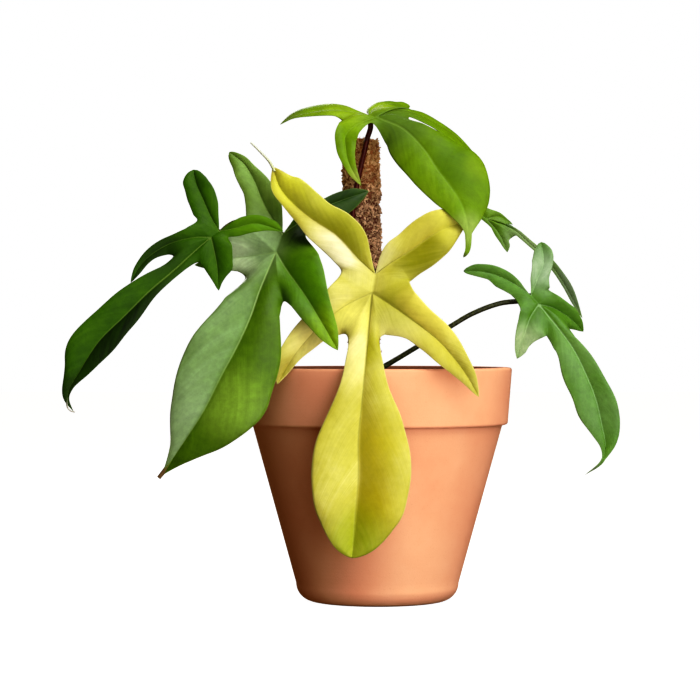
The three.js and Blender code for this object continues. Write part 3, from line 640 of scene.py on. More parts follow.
# Leaves
# Six leaves, each a lobed blade on a long round stalk that grows from the stem. A blade is five
# lobes: an ear on either side of where the stalk joins it, and an arm, the long terminal lobe
# and another arm from the fork just below. Young blades open pale yellow and green up with age.
#
# Lobes are listed round the margin from the stalk, down the left as seen from the front. `vein`
# is the points that a lobe's vein passes through after the joint or fork, `right` and `left` its
# half-widths at eighths of the vein, the last an eighth from the tip, `tip` the power by which
# its end narrows, and `sinus` the bottom of the bay after it. `lean`, or `sides` for a lobe's
# two hands, is how far back the margin lies for each millimetre of half-width, and forward
# where it is negative. The top leaf's margin isn't waved: it comes down just in front of the
# yellow leaf's ear.
LEAVES = {
    "ghost": {
        "joint": [-2, -60, 217], "fork": [-4, -66, 205],
        "facing": [0, -1, -0.15], "bulge": 0.07, "lean": -0.22,
        "lobes": [
            {"vein": [[-12, -61, 226], [-27, -64, 242], [-41.5, -66, 251.5],
                      [-54.5, -67, 262], [-63.5, -67, 272.5], [-68, -66, 286]],
             "right": [8.5, 14.4, 15.6, 14.5, 15.2, 15.3, 11.9], "left": [13.1, 13.4, 11.5, 8, 5.9, 5.1],
             "sinus": [-24, -63, 219]},
            {"vein": [[-22, -70, 196], [-41, -72, 180], [-55, -73, 163], [-65, -75, 146]],
             "right": [15.5, 13, 11.5, 11, 10, 8], "left": [13.5, 9, 7, 4.5, 3],
             "sinus": [-20, -81, 177]},
            {"vein": [[-5, -72, 196], [-7, -85, 175], [-9, -96, 154], [-11, -99, 133],
                      [-13, -100, 112], [-13, -101, 88], [-15, -101, 63], [-17, -101, 37]],
             "right": [12, 14.5, 21, 28.5, 29, 22], "left": [9, 15.5, 27, 32.5, 32, 25.5],
             "tip": 0.5, "sinus": [1, -82, 176]},
            {"vein": [[11, -76, 195], [27, -84, 183], [37, -87, 175],
                      [47, -87, 164], [56, -84, 152], [64, -80, 138]],
             "right": [18, 12, 11.5, 10.5, 8, 4.5], "left": [15, 12.5, 11.5, 10, 7.5, 5],
             "sinus": [20, -68, 212]},
            {"vein": [[9, -60, 225], [22, -60, 233], [33, -60, 241], [44, -60, 247], [57, -60, 251]],
             "right": [17, 16, 16.2, 15.7, 13.7, 9], "left": [7, 11.8, 12.7, 13.7, 14.2, 13.7, 10]},
        ],
        "stalk": {"radius": 1.6, "path": [[-9, -15.5, 178], [-7, -28, 206], [-4, -42, 221]]},
    },
    "front_left": {
        "joint": [-62, -55, 243], "fork": [-66, -58, 231],
        "facing": [-0.35, -0.9, 0.3], "bulge": 0.07, "lean": -0.2,
        "lobes": [
            {"vein": [[-71, -52, 257], [-76, -50, 267], [-80, -48, 277], [-87, -46, 289], [-97, -44, 297]],
             "right": [5.5, 9.5, 10.5, 10, 7.5, 4.5, 3.5], "left": [16.5, 12.5, 10, 10, 9.5, 7],
             "tip": 0.5, "sinus": [-86, -56, 249]},
            {"vein": [[-80, -57, 229], [-96, -56, 227], [-119, -56, 223]],
             "right": [17, 16, 11, 6, 2.5], "left": [8.5, 7, 6, 3.5],
             "sinus": [-86, -60, 215]},
            {"vein": [[-76, -68, 207], [-82, -76, 189], [-91, -83, 169], [-100, -87, 152],
                      [-111, -89, 130], [-123, -89, 111], [-139, -86, 87]],
             "right": [19.5, 25, 28, 25, 19, 6], "left": [17.5, 27.5, 33.5, 34.5, 24.5, 11],
             "tip": 1.3, "sinus": [-61, -70, 199]},
            {"vein": [[-60, -64, 221], [-47, -78, 203], [-37, -86, 187], [-26, -88, 168]],
             "right": [11, 10, 8, 5.5], "left": [22.5, 19.5, 15.5, 12, 9, 6],
             "sinus": [-47, -56, 242]},
            {"vein": [[-48, -50, 253], [-35, -46, 261], [-20, -42, 267], [-6, -38, 272]],
             "right": [10, 11.5, 11.5, 11, 9, 5.5], "left": [2.5, 5, 5.5, 5, 5.5, 5.5, 4.5]},
        ],
        "stalk": {"radius": 1.6, "path": [
            [-9, -15.5, 170], [-21.6, -24, 188], [-34.7, -36, 204], [-51, -47, 226]]},
    },
    "far_left": {
        "joint": [-102, -76, 244], "fork": [-107, -78, 240],
        "facing": [-0.6, -0.75, 0.3], "bulge": 0.08, "lean": -0.2,
        "lobes": [
            {"vein": [[-108, -74, 255], [-113, -71, 266], [-117, -69, 275], [-119, -67, 284]],
             "right": [3, 5.5, 7.5, 8.5, 9, 8.3, 6.5], "left": [9.5, 9.5, 9.5, 8.5, 7.5],
             "tip": 0.5, "sinus": [-116, -77, 251]},
            {"vein": [[-117, -79, 240], [-133, -80, 236], [-146, -82, 228],
                      [-153, -83, 220], [-158, -84, 211]],
             "right": [6.5, 5, 4.7, 4.2, 3.4, 2.4], "left": [5.5, 3.5, 3, 2.5],
             "sinus": [-131, -82, 228]},
            {"vein": [[-115, -80, 233], [-129, -84, 220], [-145, -88, 206], [-161, -91, 190],
                      [-177, -93, 174], [-188, -94, 157], [-197, -94, 139], [-193, -92, 128]],
             "right": [7, 12, 14, 15, 14.5, 5.5], "left": [4, 5.5, 8.5, 10.5, 8, 2],
             "tip": 1.3, "sinus": [-115, -82, 224]},
            {"vein": [[-105, -80, 232], [-103, -81, 222], [-102, -82, 206]],
             "right": [9.5, 7.5, 5, 2.5], "left": [12, 11.5, 10.5, 9.5, 5, 2],
             "sinus": [-96, -78, 240]},
            {"vein": [[-92, -77, 246], [-79, -77, 249], [-70, -76, 247], [-61, -75, 244]],
             "right": [5.5, 5.5, 5.5, 5, 3, 1.5], "left": [2.5, 4.5, 5.5, 5.5, 5.5, 5, 4]},
        ],
        "stalk": {"radius": 1.5, "path": [
            [-9, -15.5, 162], [-21.6, -26, 182], [-39, -38, 199], [-57, -45, 225],
            [-77, -44, 243], [-90.5, -50, 251], [-97, -60, 248.5]]},
    },
    "top": {
        "joint": [-6, -22, 323], "fork": [-1, -26, 321],
        "facing": [0, -0.5, 0.87], "bulge": 0.06, "lean": -0.15, "wave": 0,
        "lobes": [
            {"vein": [[-18, -23, 325], [-32, -25, 326], [-45, -27, 324], [-56, -30, 321], [-64, -33, 316]],
             "right": [1.8, 4.2, 5, 5, 4.8, 4, 2.2], "left": [4.5, 4, 3, 2, 1],
             "sides": [2.4, -2], "sinus": [-24, -31, 319]},
            {"vein": [[-13, -33, 316], [-21, -44, 308], [-21, -51, 299], [-19, -56, 289], [-11, -60, 274]],
             "right": [8, 6.5, 6, 4, 3], "left": [5, 7.5, 7.5, 6, 4.5, 2.5],
             "sinus": [-4, -31, 317]},
            {"vein": [[16, -38, 313], [30, -49, 298], [38, -55, 285], [46, -60, 274],
                      [53, -63.5, 263], [57, -66, 251], [57.9, -67, 240],
                      [57.2, -67, 232], [54.6, -67, 227.6]],
             "right": [14, 18.7, 19.5, 17, 14.5, 9.7, 2.2], "left": [11.5, 17.5, 25.5, 26.5, 17.5, 2.2],
             "tip": 0.32, "sides": [-0.05, 0.3], "sinus": [20.6, -26, 319.8]},
            {"vein": [[9, -18, 326], [22, -10, 326], [35, -5, 321], [50, -3, 312], [63, -3, 301]],
             "right": [4.2, 4.4, 4.3, 5.5, 4.6], "left": [2, 3.1, 2.7, 2.3, 1.6],
             "sides": [-2.5, 2.5], "sinus": [21, -9, 328]},
            {"vein": [[-4, -15, 327], [3, -7, 331], [13, 0, 332], [22, 5, 331]],
             "right": [5.5, 5, 4.5, 4], "left": [2.5, 2.5, 3, 2.5, 2.5, 2, 2.5],
             "tip": 0.45, "sides": [-1.5, 2.5]},
        ],
        "stalk": {"radius": 1.75, "path": [
            [-9, -15.5, 190], [-15.5, -17, 208], [-16.5, -18, 236], [-16.2, -18.5, 262],
            [-13, -18.5, 280.4], [-9.6, -18.5, 295.5], [-6.8, -18.7, 308]]},
    },
    "right": {
        "joint": [102, -10, 204], "fork": [107, -12, 198],
        "facing": [0.75, -0.65, 0.1], "bulge": 0.08, "lean": -0.2,
        "lobes": [
            {"vein": [[92, -11, 211], [80, -12, 217], [68, -13, 220], [57, -14, 220]],
             "right": [1.5, 3.7, 5.2, 5.7, 5.7, 5, 4], "left": [7.5, 7.5, 7, 4.5, 4, 3],
             "tip": 0.55, "sinus": [92, -12, 201]},
            {"vein": [[101, -16, 189], [97, -20, 178], [92, -24, 162]],
             "right": [8, 6.5, 6, 5.5, 4.5, 3], "left": [13.5, 8.5, 5.5, 4],
             "sinus": [112, -18, 177]},
            {"vein": [[119, -18, 183], [129, -23, 169], [137, -28, 152], [143, -32, 136],
                      [147, -35, 118], [149, -37, 104], [146.5, -38, 95], [135.5, -39, 86]],
             "right": [11, 14, 15, 14, 7.5, 0.9], "left": [5.5, 8.5, 11, 12.3, 11, 1.6],
             "sinus": [128, -15, 180]},
            {"vein": [[116, -9, 196], [127, -5, 190], [138, 0, 180]],
             "right": [6, 3], "left": [9, 8, 7.5, 7.5, 6, 4],
             "sinus": [114, -8, 208]},
            {"vein": [[107, -7, 216], [111, -3, 226], [110, 3, 240]],
             "right": [9.5, 7.5, 6.5, 6.5, 6.5, 5], "left": [1.8, 4.3, 5.8, 7.2, 7.7, 6.7, 5], "tip": 0.55},
        ],
        "stalk": {"radius": 1.7, "path": [
            [-9, -15.5, 149], [5, -9, 157], [25.7, -8, 169.4],
            [48, -7, 183], [63.5, -6, 192], [82, -5, 198.8]]},
    },
    "back_right": {
        "joint": [71, 35, 260], "fork": [75, 34, 257],
        "facing": [0.7, -0.7, 0.2], "bulge": 0.08, "lean": -0.15,
        "lobes": [
            {"vein": [[65, 36, 267], [60, 37, 276], [54, 38, 285]],
             "right": [4.5, 6.5, 7.5, 8, 6.5, 5.5, 3], "left": [6.5, 7, 7.5, 7.5, 7, 5],
             "sinus": [68, 34, 259]},
            {"vein": [[82, 33, 249], [86, 32, 242], [89, 31, 234]],
             "right": [2, 2.7, 2.9, 2.5, 2, 1.3], "left": [3.5, 3],
             "sinus": [92, 34, 244]},
            {"vein": [[90, 34, 252], [104.3, 33, 240], [118, 32, 226.3], [128.5, 31, 211], [140, 29, 189]],
             "right": [2, 1.7, 1.5, 1.7, 1.8, 1.6], "left": [2, 2.5, 3, 3.7, 4, 2.5],
             "sinus": [94, 35, 250]},
            {"vein": [[82, 35, 259], [87, 35, 257], [93, 35, 253]],
             "right": [1, 1], "left": [3, 2.2, 1.6, 1.1, 0.8],
             "sinus": [75, 35, 265]},
            {"vein": [[71, 36, 267], [71, 37, 273], [70, 38, 281]],
             "right": [4, 3.5, 3.5, 3, 1.5], "left": [2, 3, 3.5, 4, 4.5, 3.5, 2.5]},
        ],
        "stalk": {"radius": 1.5, "path": [
            [-9, -15.5, 184], [8.4, -6, 207], [22, 8, 220], [42.5, 24, 240], [60, 38, 252.4]]},
    },
}
EIGHTHS = 8
TIP = 0.8
DRIP = 0.45
DRIP_LENGTH = 0.09
STEP = 1.0
ROWS = 18
BLADE_THICKNESS = 0.7
MARGIN_THINS = 3
PUFF = 0.05
NARROW = 12
VEIN_SHARES = (0.5, 0.55, 1, 0.6, 0.5)
RIB_HEIGHT = 1.1
RIB_WIDTH = 1.2
GROOVE_DEPTH = 0.4
GROOVE_WIDTH = 0.8
QUILT = 0.08
QUILT_SPACING = 7.5
QUILT_FROM_VEIN = 4
QUILT_FROM_MARGIN = 8
LATERAL_LEAVE = 1.0
LATERAL_TURN = 1.1
WAVE = 0.6
WAVE_LENGTH = 34
STALK_POINTS = 90
STALK_SIDES = 20
STALK_STRAIGHT = 8
STALK_SEAT = 0.5
FOOT_SWELL = (0.45, 9)
TOP_SWELL = (0.12, 5)
STALK_DASH = 1.667
# Streaks: how often they come in a millimetre along the phase, from the vein, and in a hand.
BANDS = (0.16, 0.012, 0.9)
LINES = (0.8, 0.03, 0.9)
CLOUD = 23.81
MOTTLE = 4.762
SKIN_GRAIN = 1.111
WASH_CORE = 0.2


def through_values(values, at):
    """Uniform Catmull-Rom through evenly spaced values, which runs on straight at its ends."""
    v = np.array([2 * values[0] - values[1], *values, 2 * values[-1] - values[-2]])
    i = np.minimum(at.astype(int), len(values) - 2)
    t = at - i
    a, b, c, d = (v[i + k] for k in range(4))
    return b + 0.5 * t * (c - a + t * (2 * a - 5 * b + 4 * c - d + t * (3 * (b - c) + d - a)))


def place_lobe(leaf, lobe, index):
    """One lobe: its vein's points, and each hand's margin, which is the vein plus the half-width
    across it in the front view, moved back by the lean times the half-width."""
    at_joint = index in (0, len(leaf["lobes"]) - 1)
    root = leaf["joint"] if at_joint else leaf["fork"]
    _, length = even_curve([root, *lobe["vein"]], 2)
    per_eighth = max(3, round(length / EIGHTHS / STEP))
    steps = EIGHTHS * per_eighth
    vein, _ = even_curve([root, *lobe["vein"]], steps + 1)
    along = np.gradient(vein, axis=0)
    lean = lobe.get("sides", [leaf["lean"]] * 2)
    placed = {"vein": vein, "length": length, "per_eighth": per_eighth, "sinus": lobe.get("sinus")}
    for hand, name in enumerate(("right", "left")):
        given = lobe[name]
        open_from_joint = at_joint and len(given) == EIGHTHS - 1
        widths = [*([0] if open_from_joint else []), *given, 0]
        free = (EIGHTHS + 1 - len(widths)) * per_eighth
        station = np.arange(free, steps + 1)
        left = (steps - station) / per_eighth
        width = through_values(widths, (station - free) / per_eighth)
        drip = 1 - DRIP * np.exp(-left / DRIP_LENGTH)
        width = np.where(left < 1, given[-1] * left ** lobe.get("tip", TIP) * drip, width)
        way = along[station]
        across = np.stack([way[:, 2], 0 * station, -way[:, 0]], 1) * (1 - 2 * hand)
        across /= np.hypot(way[:, 0], way[:, 2])[:, None]
        margin = vein[station] + across * width[:, None]
        margin[:, 1] += lean[hand] * width
        placed[name] = {"free": free, "margin": margin}
    return placed


def bay(lobe, following):
    """The web between two lobes: the spine goes back along one vein to the fork and out along the
    next, while the margin rounds the sinus on a curve through it."""
    back = lobe["vein"][:lobe["left"]["free"]][::-1]
    out = following["vein"][:following["right"]["free"]]
    gap = np.linalg.norm(out[0] - back[-1])
    apart = gap > 1e-6
    between = max(0, round(gap / STEP) - 1)
    share = (np.arange(between) + 1)[:, None] / (between + 1)
    out = out if apart else out[1:]
    spine = np.vstack([back, back[-1] + share * (following["vein"][0] - back[-1]), out])
    corner = len(back) + (between + 1) / 2 if apart else len(back)
    end = len(spine) + 1
    at = np.arange(1, end)
    at = np.where(at < corner, at / corner, 1 + (at - corner) / (end - corner))
    from_margin, to_margin = lobe["left"]["margin"], following["right"]["margin"]
    margin = centripetal([
        from_margin[lobe["per_eighth"]], from_margin[0], lobe["sinus"],
        to_margin[0], to_margin[following["per_eighth"]],
    ], 1 + at)
    run = np.concatenate([
        np.arange(len(back))[::-1] * lobe["length"] / (len(lobe["vein"]) - 1),
        np.zeros(between),
        (np.arange(len(out)) + (not apart)) * following["length"] / (len(following["vein"]) - 1),
    ])
    return spine, margin, run


def walk_margin(leaf):
    """Paired points on the veins and on the margin once round the blade, how far along its vein
    each is, and which hand of the vein."""
    lobes = [place_lobe(leaf, lobe, index) for index, lobe in enumerate(leaf["lobes"])]
    spine, margin, run, hand = [], [], [], []
    for index, lobe in enumerate(lobes):
        steps = len(lobe["vein"]) - 1
        out = np.arange(lobe["right"]["free"], steps + 1)
        back = np.arange(lobe["left"]["free"], steps)[::-1]
        spine += [lobe["vein"][out], lobe["vein"][back]]
        margin += [lobe["right"]["margin"], lobe["left"]["margin"][:-1][::-1]]
        run += [out * lobe["length"] / steps, back * lobe["length"] / steps]
        hand += [np.ones(len(out)), -np.ones(len(back))]
        if lobe["sinus"]:
            web_spine, web_margin, web_run = bay(lobe, lobes[index + 1])
            spine.append(web_spine)
            margin.append(web_margin)
            run.append(web_run)
            hand.append(np.linspace(-1, 1, len(web_run)) ** 3)
    return [np.concatenate(part)[:-1] for part in (spine, margin, run, hand)], lobes


def weld(points, faces):
    """Points at one place made one, and the triangles that this empties dropped."""
    _, first, same = np.unique(np.round(points, 4), axis=0, return_index=True, return_inverse=True)
    faces = same.reshape(-1)[faces]
    full = (faces[:, 0] != faces[:, 1]) & (faces[:, 1] != faces[:, 2]) & (faces[:, 2] != faces[:, 0])
    return first, faces[full]


def point_normals(points, faces):
    """Each point's normal: the area-weighted mean of its triangles'."""
    corner = points[faces]
    face = np.cross(corner[:, 1] - corner[:, 0], corner[:, 2] - corner[:, 0])
    total = np.zeros_like(points)
    for k in range(3):
        np.add.at(total, faces[:, k], face)
    return total / np.linalg.norm(total, axis=1, keepdims=True)


def blade(leaf):
    """A closed blade. Its middle surface runs from vein (share 0) to margin (share 1) as
    spine + share (margin - spine), arched towards the viewer by 4 share (1 - share), and waved
    at the margin by share squared times a sine of the run along the vein. The upper face sinks
    into a groove along each main vein and swells between side veins, and the lower face stands
    out in a rib along each main vein, tapering to its tip. A side vein is a line of equal
    phase, which is run - from_vein (LATERAL_LEAVE + LATERAL_TURN share), so it leaves slantwise
    and bends on."""
    (spine, margin, run, hand), lobes = walk_margin(leaf)
    share = np.linspace(0, 1, ROWS + 1)
    across = margin - spine
    reach = np.linalg.norm(across, axis=1)
    facing = np.array(leaf["facing"]) / np.linalg.norm(leaf["facing"])
    arch = (leaf["bulge"] + PUFF) * reach[:, None] * 4 * share * (1 - share)
    wave = leaf.get("wave", WAVE) * np.clip(reach / NARROW, 0, 1)
    wave = wave * np.sin(2 * np.pi * run / WAVE_LENGTH + hand)
    points = spine[:, None] + across[:, None] * share[:, None]
    points = points + facing * (arch + wave[:, None] * share ** 2 * np.abs(hand)[:, None])[..., None]
    points = points.reshape(-1, 3)
    columns, rows = len(spine), ROWS + 1
    quads = grid_faces(columns, rows, round_rows=True)
    faces = np.vstack([quads[:, [0, 1, 2]], quads[:, [0, 2, 3]]])
    from_vein = reach[:, None] * share
    phase = (run[:, None] - from_vein * (LATERAL_LEAVE + LATERAL_TURN * share)).ravel()
    from_margin = (reach[:, None] * (1 - share)).ravel()
    inward = (hand[:, None] * share).ravel()
    first, faces = weld(points, faces)
    points, phase, from_margin, inward = points[first], phase[first], from_margin[first], inward[first]
    broad = np.clip(np.repeat(reach, rows)[first] / NARROW, 0.15, 1)
    distance = np.full(len(points), 1e3)
    taper = np.ones(len(points))
    for index, lobe in enumerate(lobes):
        apart = np.linalg.norm(points[:, None] - lobe["vein"][None], axis=2)
        nearest = apart.argmin(1)
        near = apart[np.arange(len(points)), nearest]
        closer = near < distance
        distance = np.where(closer, near, distance)
        taper = np.where(closer, VEIN_SHARES[index] * (1 - nearest / (len(lobe["vein"]) - 1)), taper)
    normal = point_normals(points, faces)
    edge = np.clip(from_margin / MARGIN_THINS, 0, 1)
    swell = QUILT * (np.abs(np.sin(np.pi * phase / QUILT_SPACING)) ** 0.8 - 0.6)
    swell *= np.clip(distance / QUILT_FROM_VEIN, 0, 1) * np.clip(from_margin / QUILT_FROM_MARGIN, 0, 1)
    groove = GROOVE_DEPTH * broad * (0.3 + 0.7 * taper) * np.exp(-(distance / GROOVE_WIDTH) ** 2)
    rib = RIB_HEIGHT * broad * taper * np.exp(-(distance / RIB_WIDTH) ** 2)
    half = BLADE_THICKNESS / 2 * (0.5 + 0.5 * edge)
    upper = points + normal * (half + swell - groove * edge)[:, None]
    lower = points - normal * (half - swell + rib * edge)[:, None]
    starts, ends = faces[:, [0, 1, 2]].ravel(), faces[:, [1, 2, 0]].ravel()
    count = len(points)
    alone = ~np.isin(starts * count + ends, ends * count + starts)
    a, b = starts[alone], ends[alone]
    rim = np.vstack([np.stack([b, a, a + count], 1), np.stack([b, a + count, b + count], 1)])
    shell = np.vstack([faces, faces[:, ::-1] + count, rim])
    layers = {
        "vein": np.tile(np.stack([phase, distance, from_margin], 1), (2, 1)),
        "place": np.stack([np.tile(inward, 2), np.tile(taper, 2), np.repeat([0.0, 1.0], count)], 1),
    }
    joint = np.linalg.norm(points - leaf["joint"], axis=1).argmin()
    return np.vstack([upper, lower]), shell, layers, normal[joint]


def leaf_skin(look):
    """Aroid leaf: a thin waxy skin over green flesh. Its greens drift from dark to light in
    streaks that follow the side veins, with patches of another colour, some on one side of the
    vein alone: some are the leaf's own tints, and many are painted light and shade, painted sheen
    and highlights where a part faces the light and painted shade where it faces away or lies
    under another leaf. A fine mottle of paler and darker tone lies over all. The main veins and
    the very edge are lines of their own, and the underside is paler and duller. Wax gives a broad
    soft gloss."""
    material, shader = new_material(look["name"])
    place = add(material, "TexCoord").outputs["Object"]
    vein, where = (
        add(material, "SeparateXYZ", {0: add(material, "Attribute", attribute_name=name).outputs["Vector"]})
        for name in ("vein", "place"))
    phase, from_vein, from_margin = vein.outputs
    inward, taper, underside = where.outputs
    along = add(material, "CombineXYZ", {0: phase, 1: from_vein, 2: inward})
    band, line = (
        add(material, "TexNoise", {
            "Vector": add(material, "VectorMath", {0: along, 1: streaks}, operation="MULTIPLY"),
            "Scale": 1, "Detail": detail})
        for streaks, detail in ((BANDS, 3), (LINES, 2)))
    cloud = add(material, "TexNoise", {
        "Vector": place, "Scale": per_metre(CLOUD), "Detail": 5, "Roughness": 0.6})
    level = 0.5
    for pattern, share in ((band, look["bands"]), (cloud, look["clouds"]), (line, look["lines"])):
        level = add(material, "Math", {0: pattern, 1: 2 * share, 2: level}, operation="MULTIPLY_ADD")
        level = add(material, "Math", {0: level, 1: share}, operation="SUBTRACT")
    shade = add(material, "ValToRGB", {0: level}, stops=tuple(zip((0.2, 0.5, 0.8), look["flesh"])))
    drift = add(material, "Math", {0: band, 1: 0.8, 2: 0.5}, operation="MULTIPLY_ADD")
    # Each tint is mixed in near its centre; many of them are painted light and shade.
    for centre, reach, colour, strength, half in look["tints_and_painted_light"]:
        away = add(material, "VectorMath", {
            0: place, 1: [value * MM for value in centre]}, operation="DISTANCE")
        near = add(material, "MapRange", {
            0: away.outputs["Value"], "From Min": reach * MM, "From Max": WASH_CORE * reach * MM,
            "To Max": strength}, interpolation_type="SMOOTHSTEP")
        near = add(material, "Math", {0: near, 1: drift}, operation="MULTIPLY", use_clamp=True)
        if half:
            hand = add(material, "MapRange", {0: inward, "From Min": -0.04 * half, "From Max": 0.1 * half})
            near = add(material, "Math", {0: near, 1: hand}, operation="MULTIPLY")
        shade = add(material, "Mix", {"Factor": near, 6: shade, 7: colour}, data_type="RGBA").outputs[2]
    mottle = add(material, "TexNoise", {
        "Vector": place, "Scale": per_metre(MOTTLE), "Detail": 5, "Roughness": 0.7})
    mottle = add(material, "MapRange", {
        0: mottle, "From Min": 0.3, "From Max": 0.7,
        "To Min": 1 - look["mottle"], "To Max": 1 + look["mottle"]})
    shade = add(material, "VectorMath", {0: shade, "Scale": mottle}, operation="SCALE")
    width = add(material, "Math", {0: taper, 1: 0.5, 2: 0.3}, operation="MULTIPLY_ADD")
    rib = add(material, "Math", {0: from_vein, 1: width}, operation="DIVIDE")
    rib = add(material, "MapRange", {
        0: rib, "From Min": 1.5, "From Max": 0.6, "To Max": look["rib"][1]}, interpolation_type="SMOOTHSTEP")
    bold = add(material, "Math", {0: taper, 1: 0.9, 2: 0.1}, operation="MULTIPLY_ADD")
    rib = add(material, "Math", {0: rib, 1: bold}, operation="MULTIPLY")
    edge = add(material, "MapRange", {
        0: from_margin, "From Min": 0.8, "From Max": 0.2, "To Max": look["edge"][1]})
    under = add(material, "Math", {0: underside, 1: 0.75}, operation="MULTIPLY")
    for factor, colour in ((rib, look["rib"][0]), (edge, look["edge"][0]), (under, look["under"])):
        shade = add(material, "Mix", {"Factor": factor, 6: shade, 7: colour}, data_type="RGBA").outputs[2]
    grain = add(material, "TexNoise", {"Vector": place, "Scale": per_metre(SKIN_GRAIN), "Detail": 3})
    relief = add(material, "Math", {0: line, 1: look["relief"], 2: grain}, operation="MULTIPLY_ADD")
    bump = add(material, "Bump", {"Height": relief, "Strength": 0.3, "Distance": 0.15 * MM})
    wax = add(material, "MapRange", {
        0: cloud, "From Min": 0.35, "From Max": 0.65, "To Min": 0.38, "To Max": 0.52})
    connect(material, shader, {
        "Base Color": shade, "Normal": bump, "Roughness": wax, "Specular IOR Level": look["gloss"]})
    return material


def stalk_skin(name, dark, pale):
    """Leaf stalk: round and waxy, green overlaid with maroon as it ages, with fine pale dashes."""
    material, shader = new_material(name)
    place = add(material, "TexCoord").outputs["Object"]
    dash = add(material, "TexNoise", {"Vector": place, "Scale": per_metre(STALK_DASH), "Detail": 3})
    shade = add(material, "ValToRGB", {0: dash}, stops=((0.45, dark), (0.8, pale)))
    connect(material, shader, {"Base Color": shade, "Roughness": 0.4, "Specular IOR Level": 0.3})
    return material
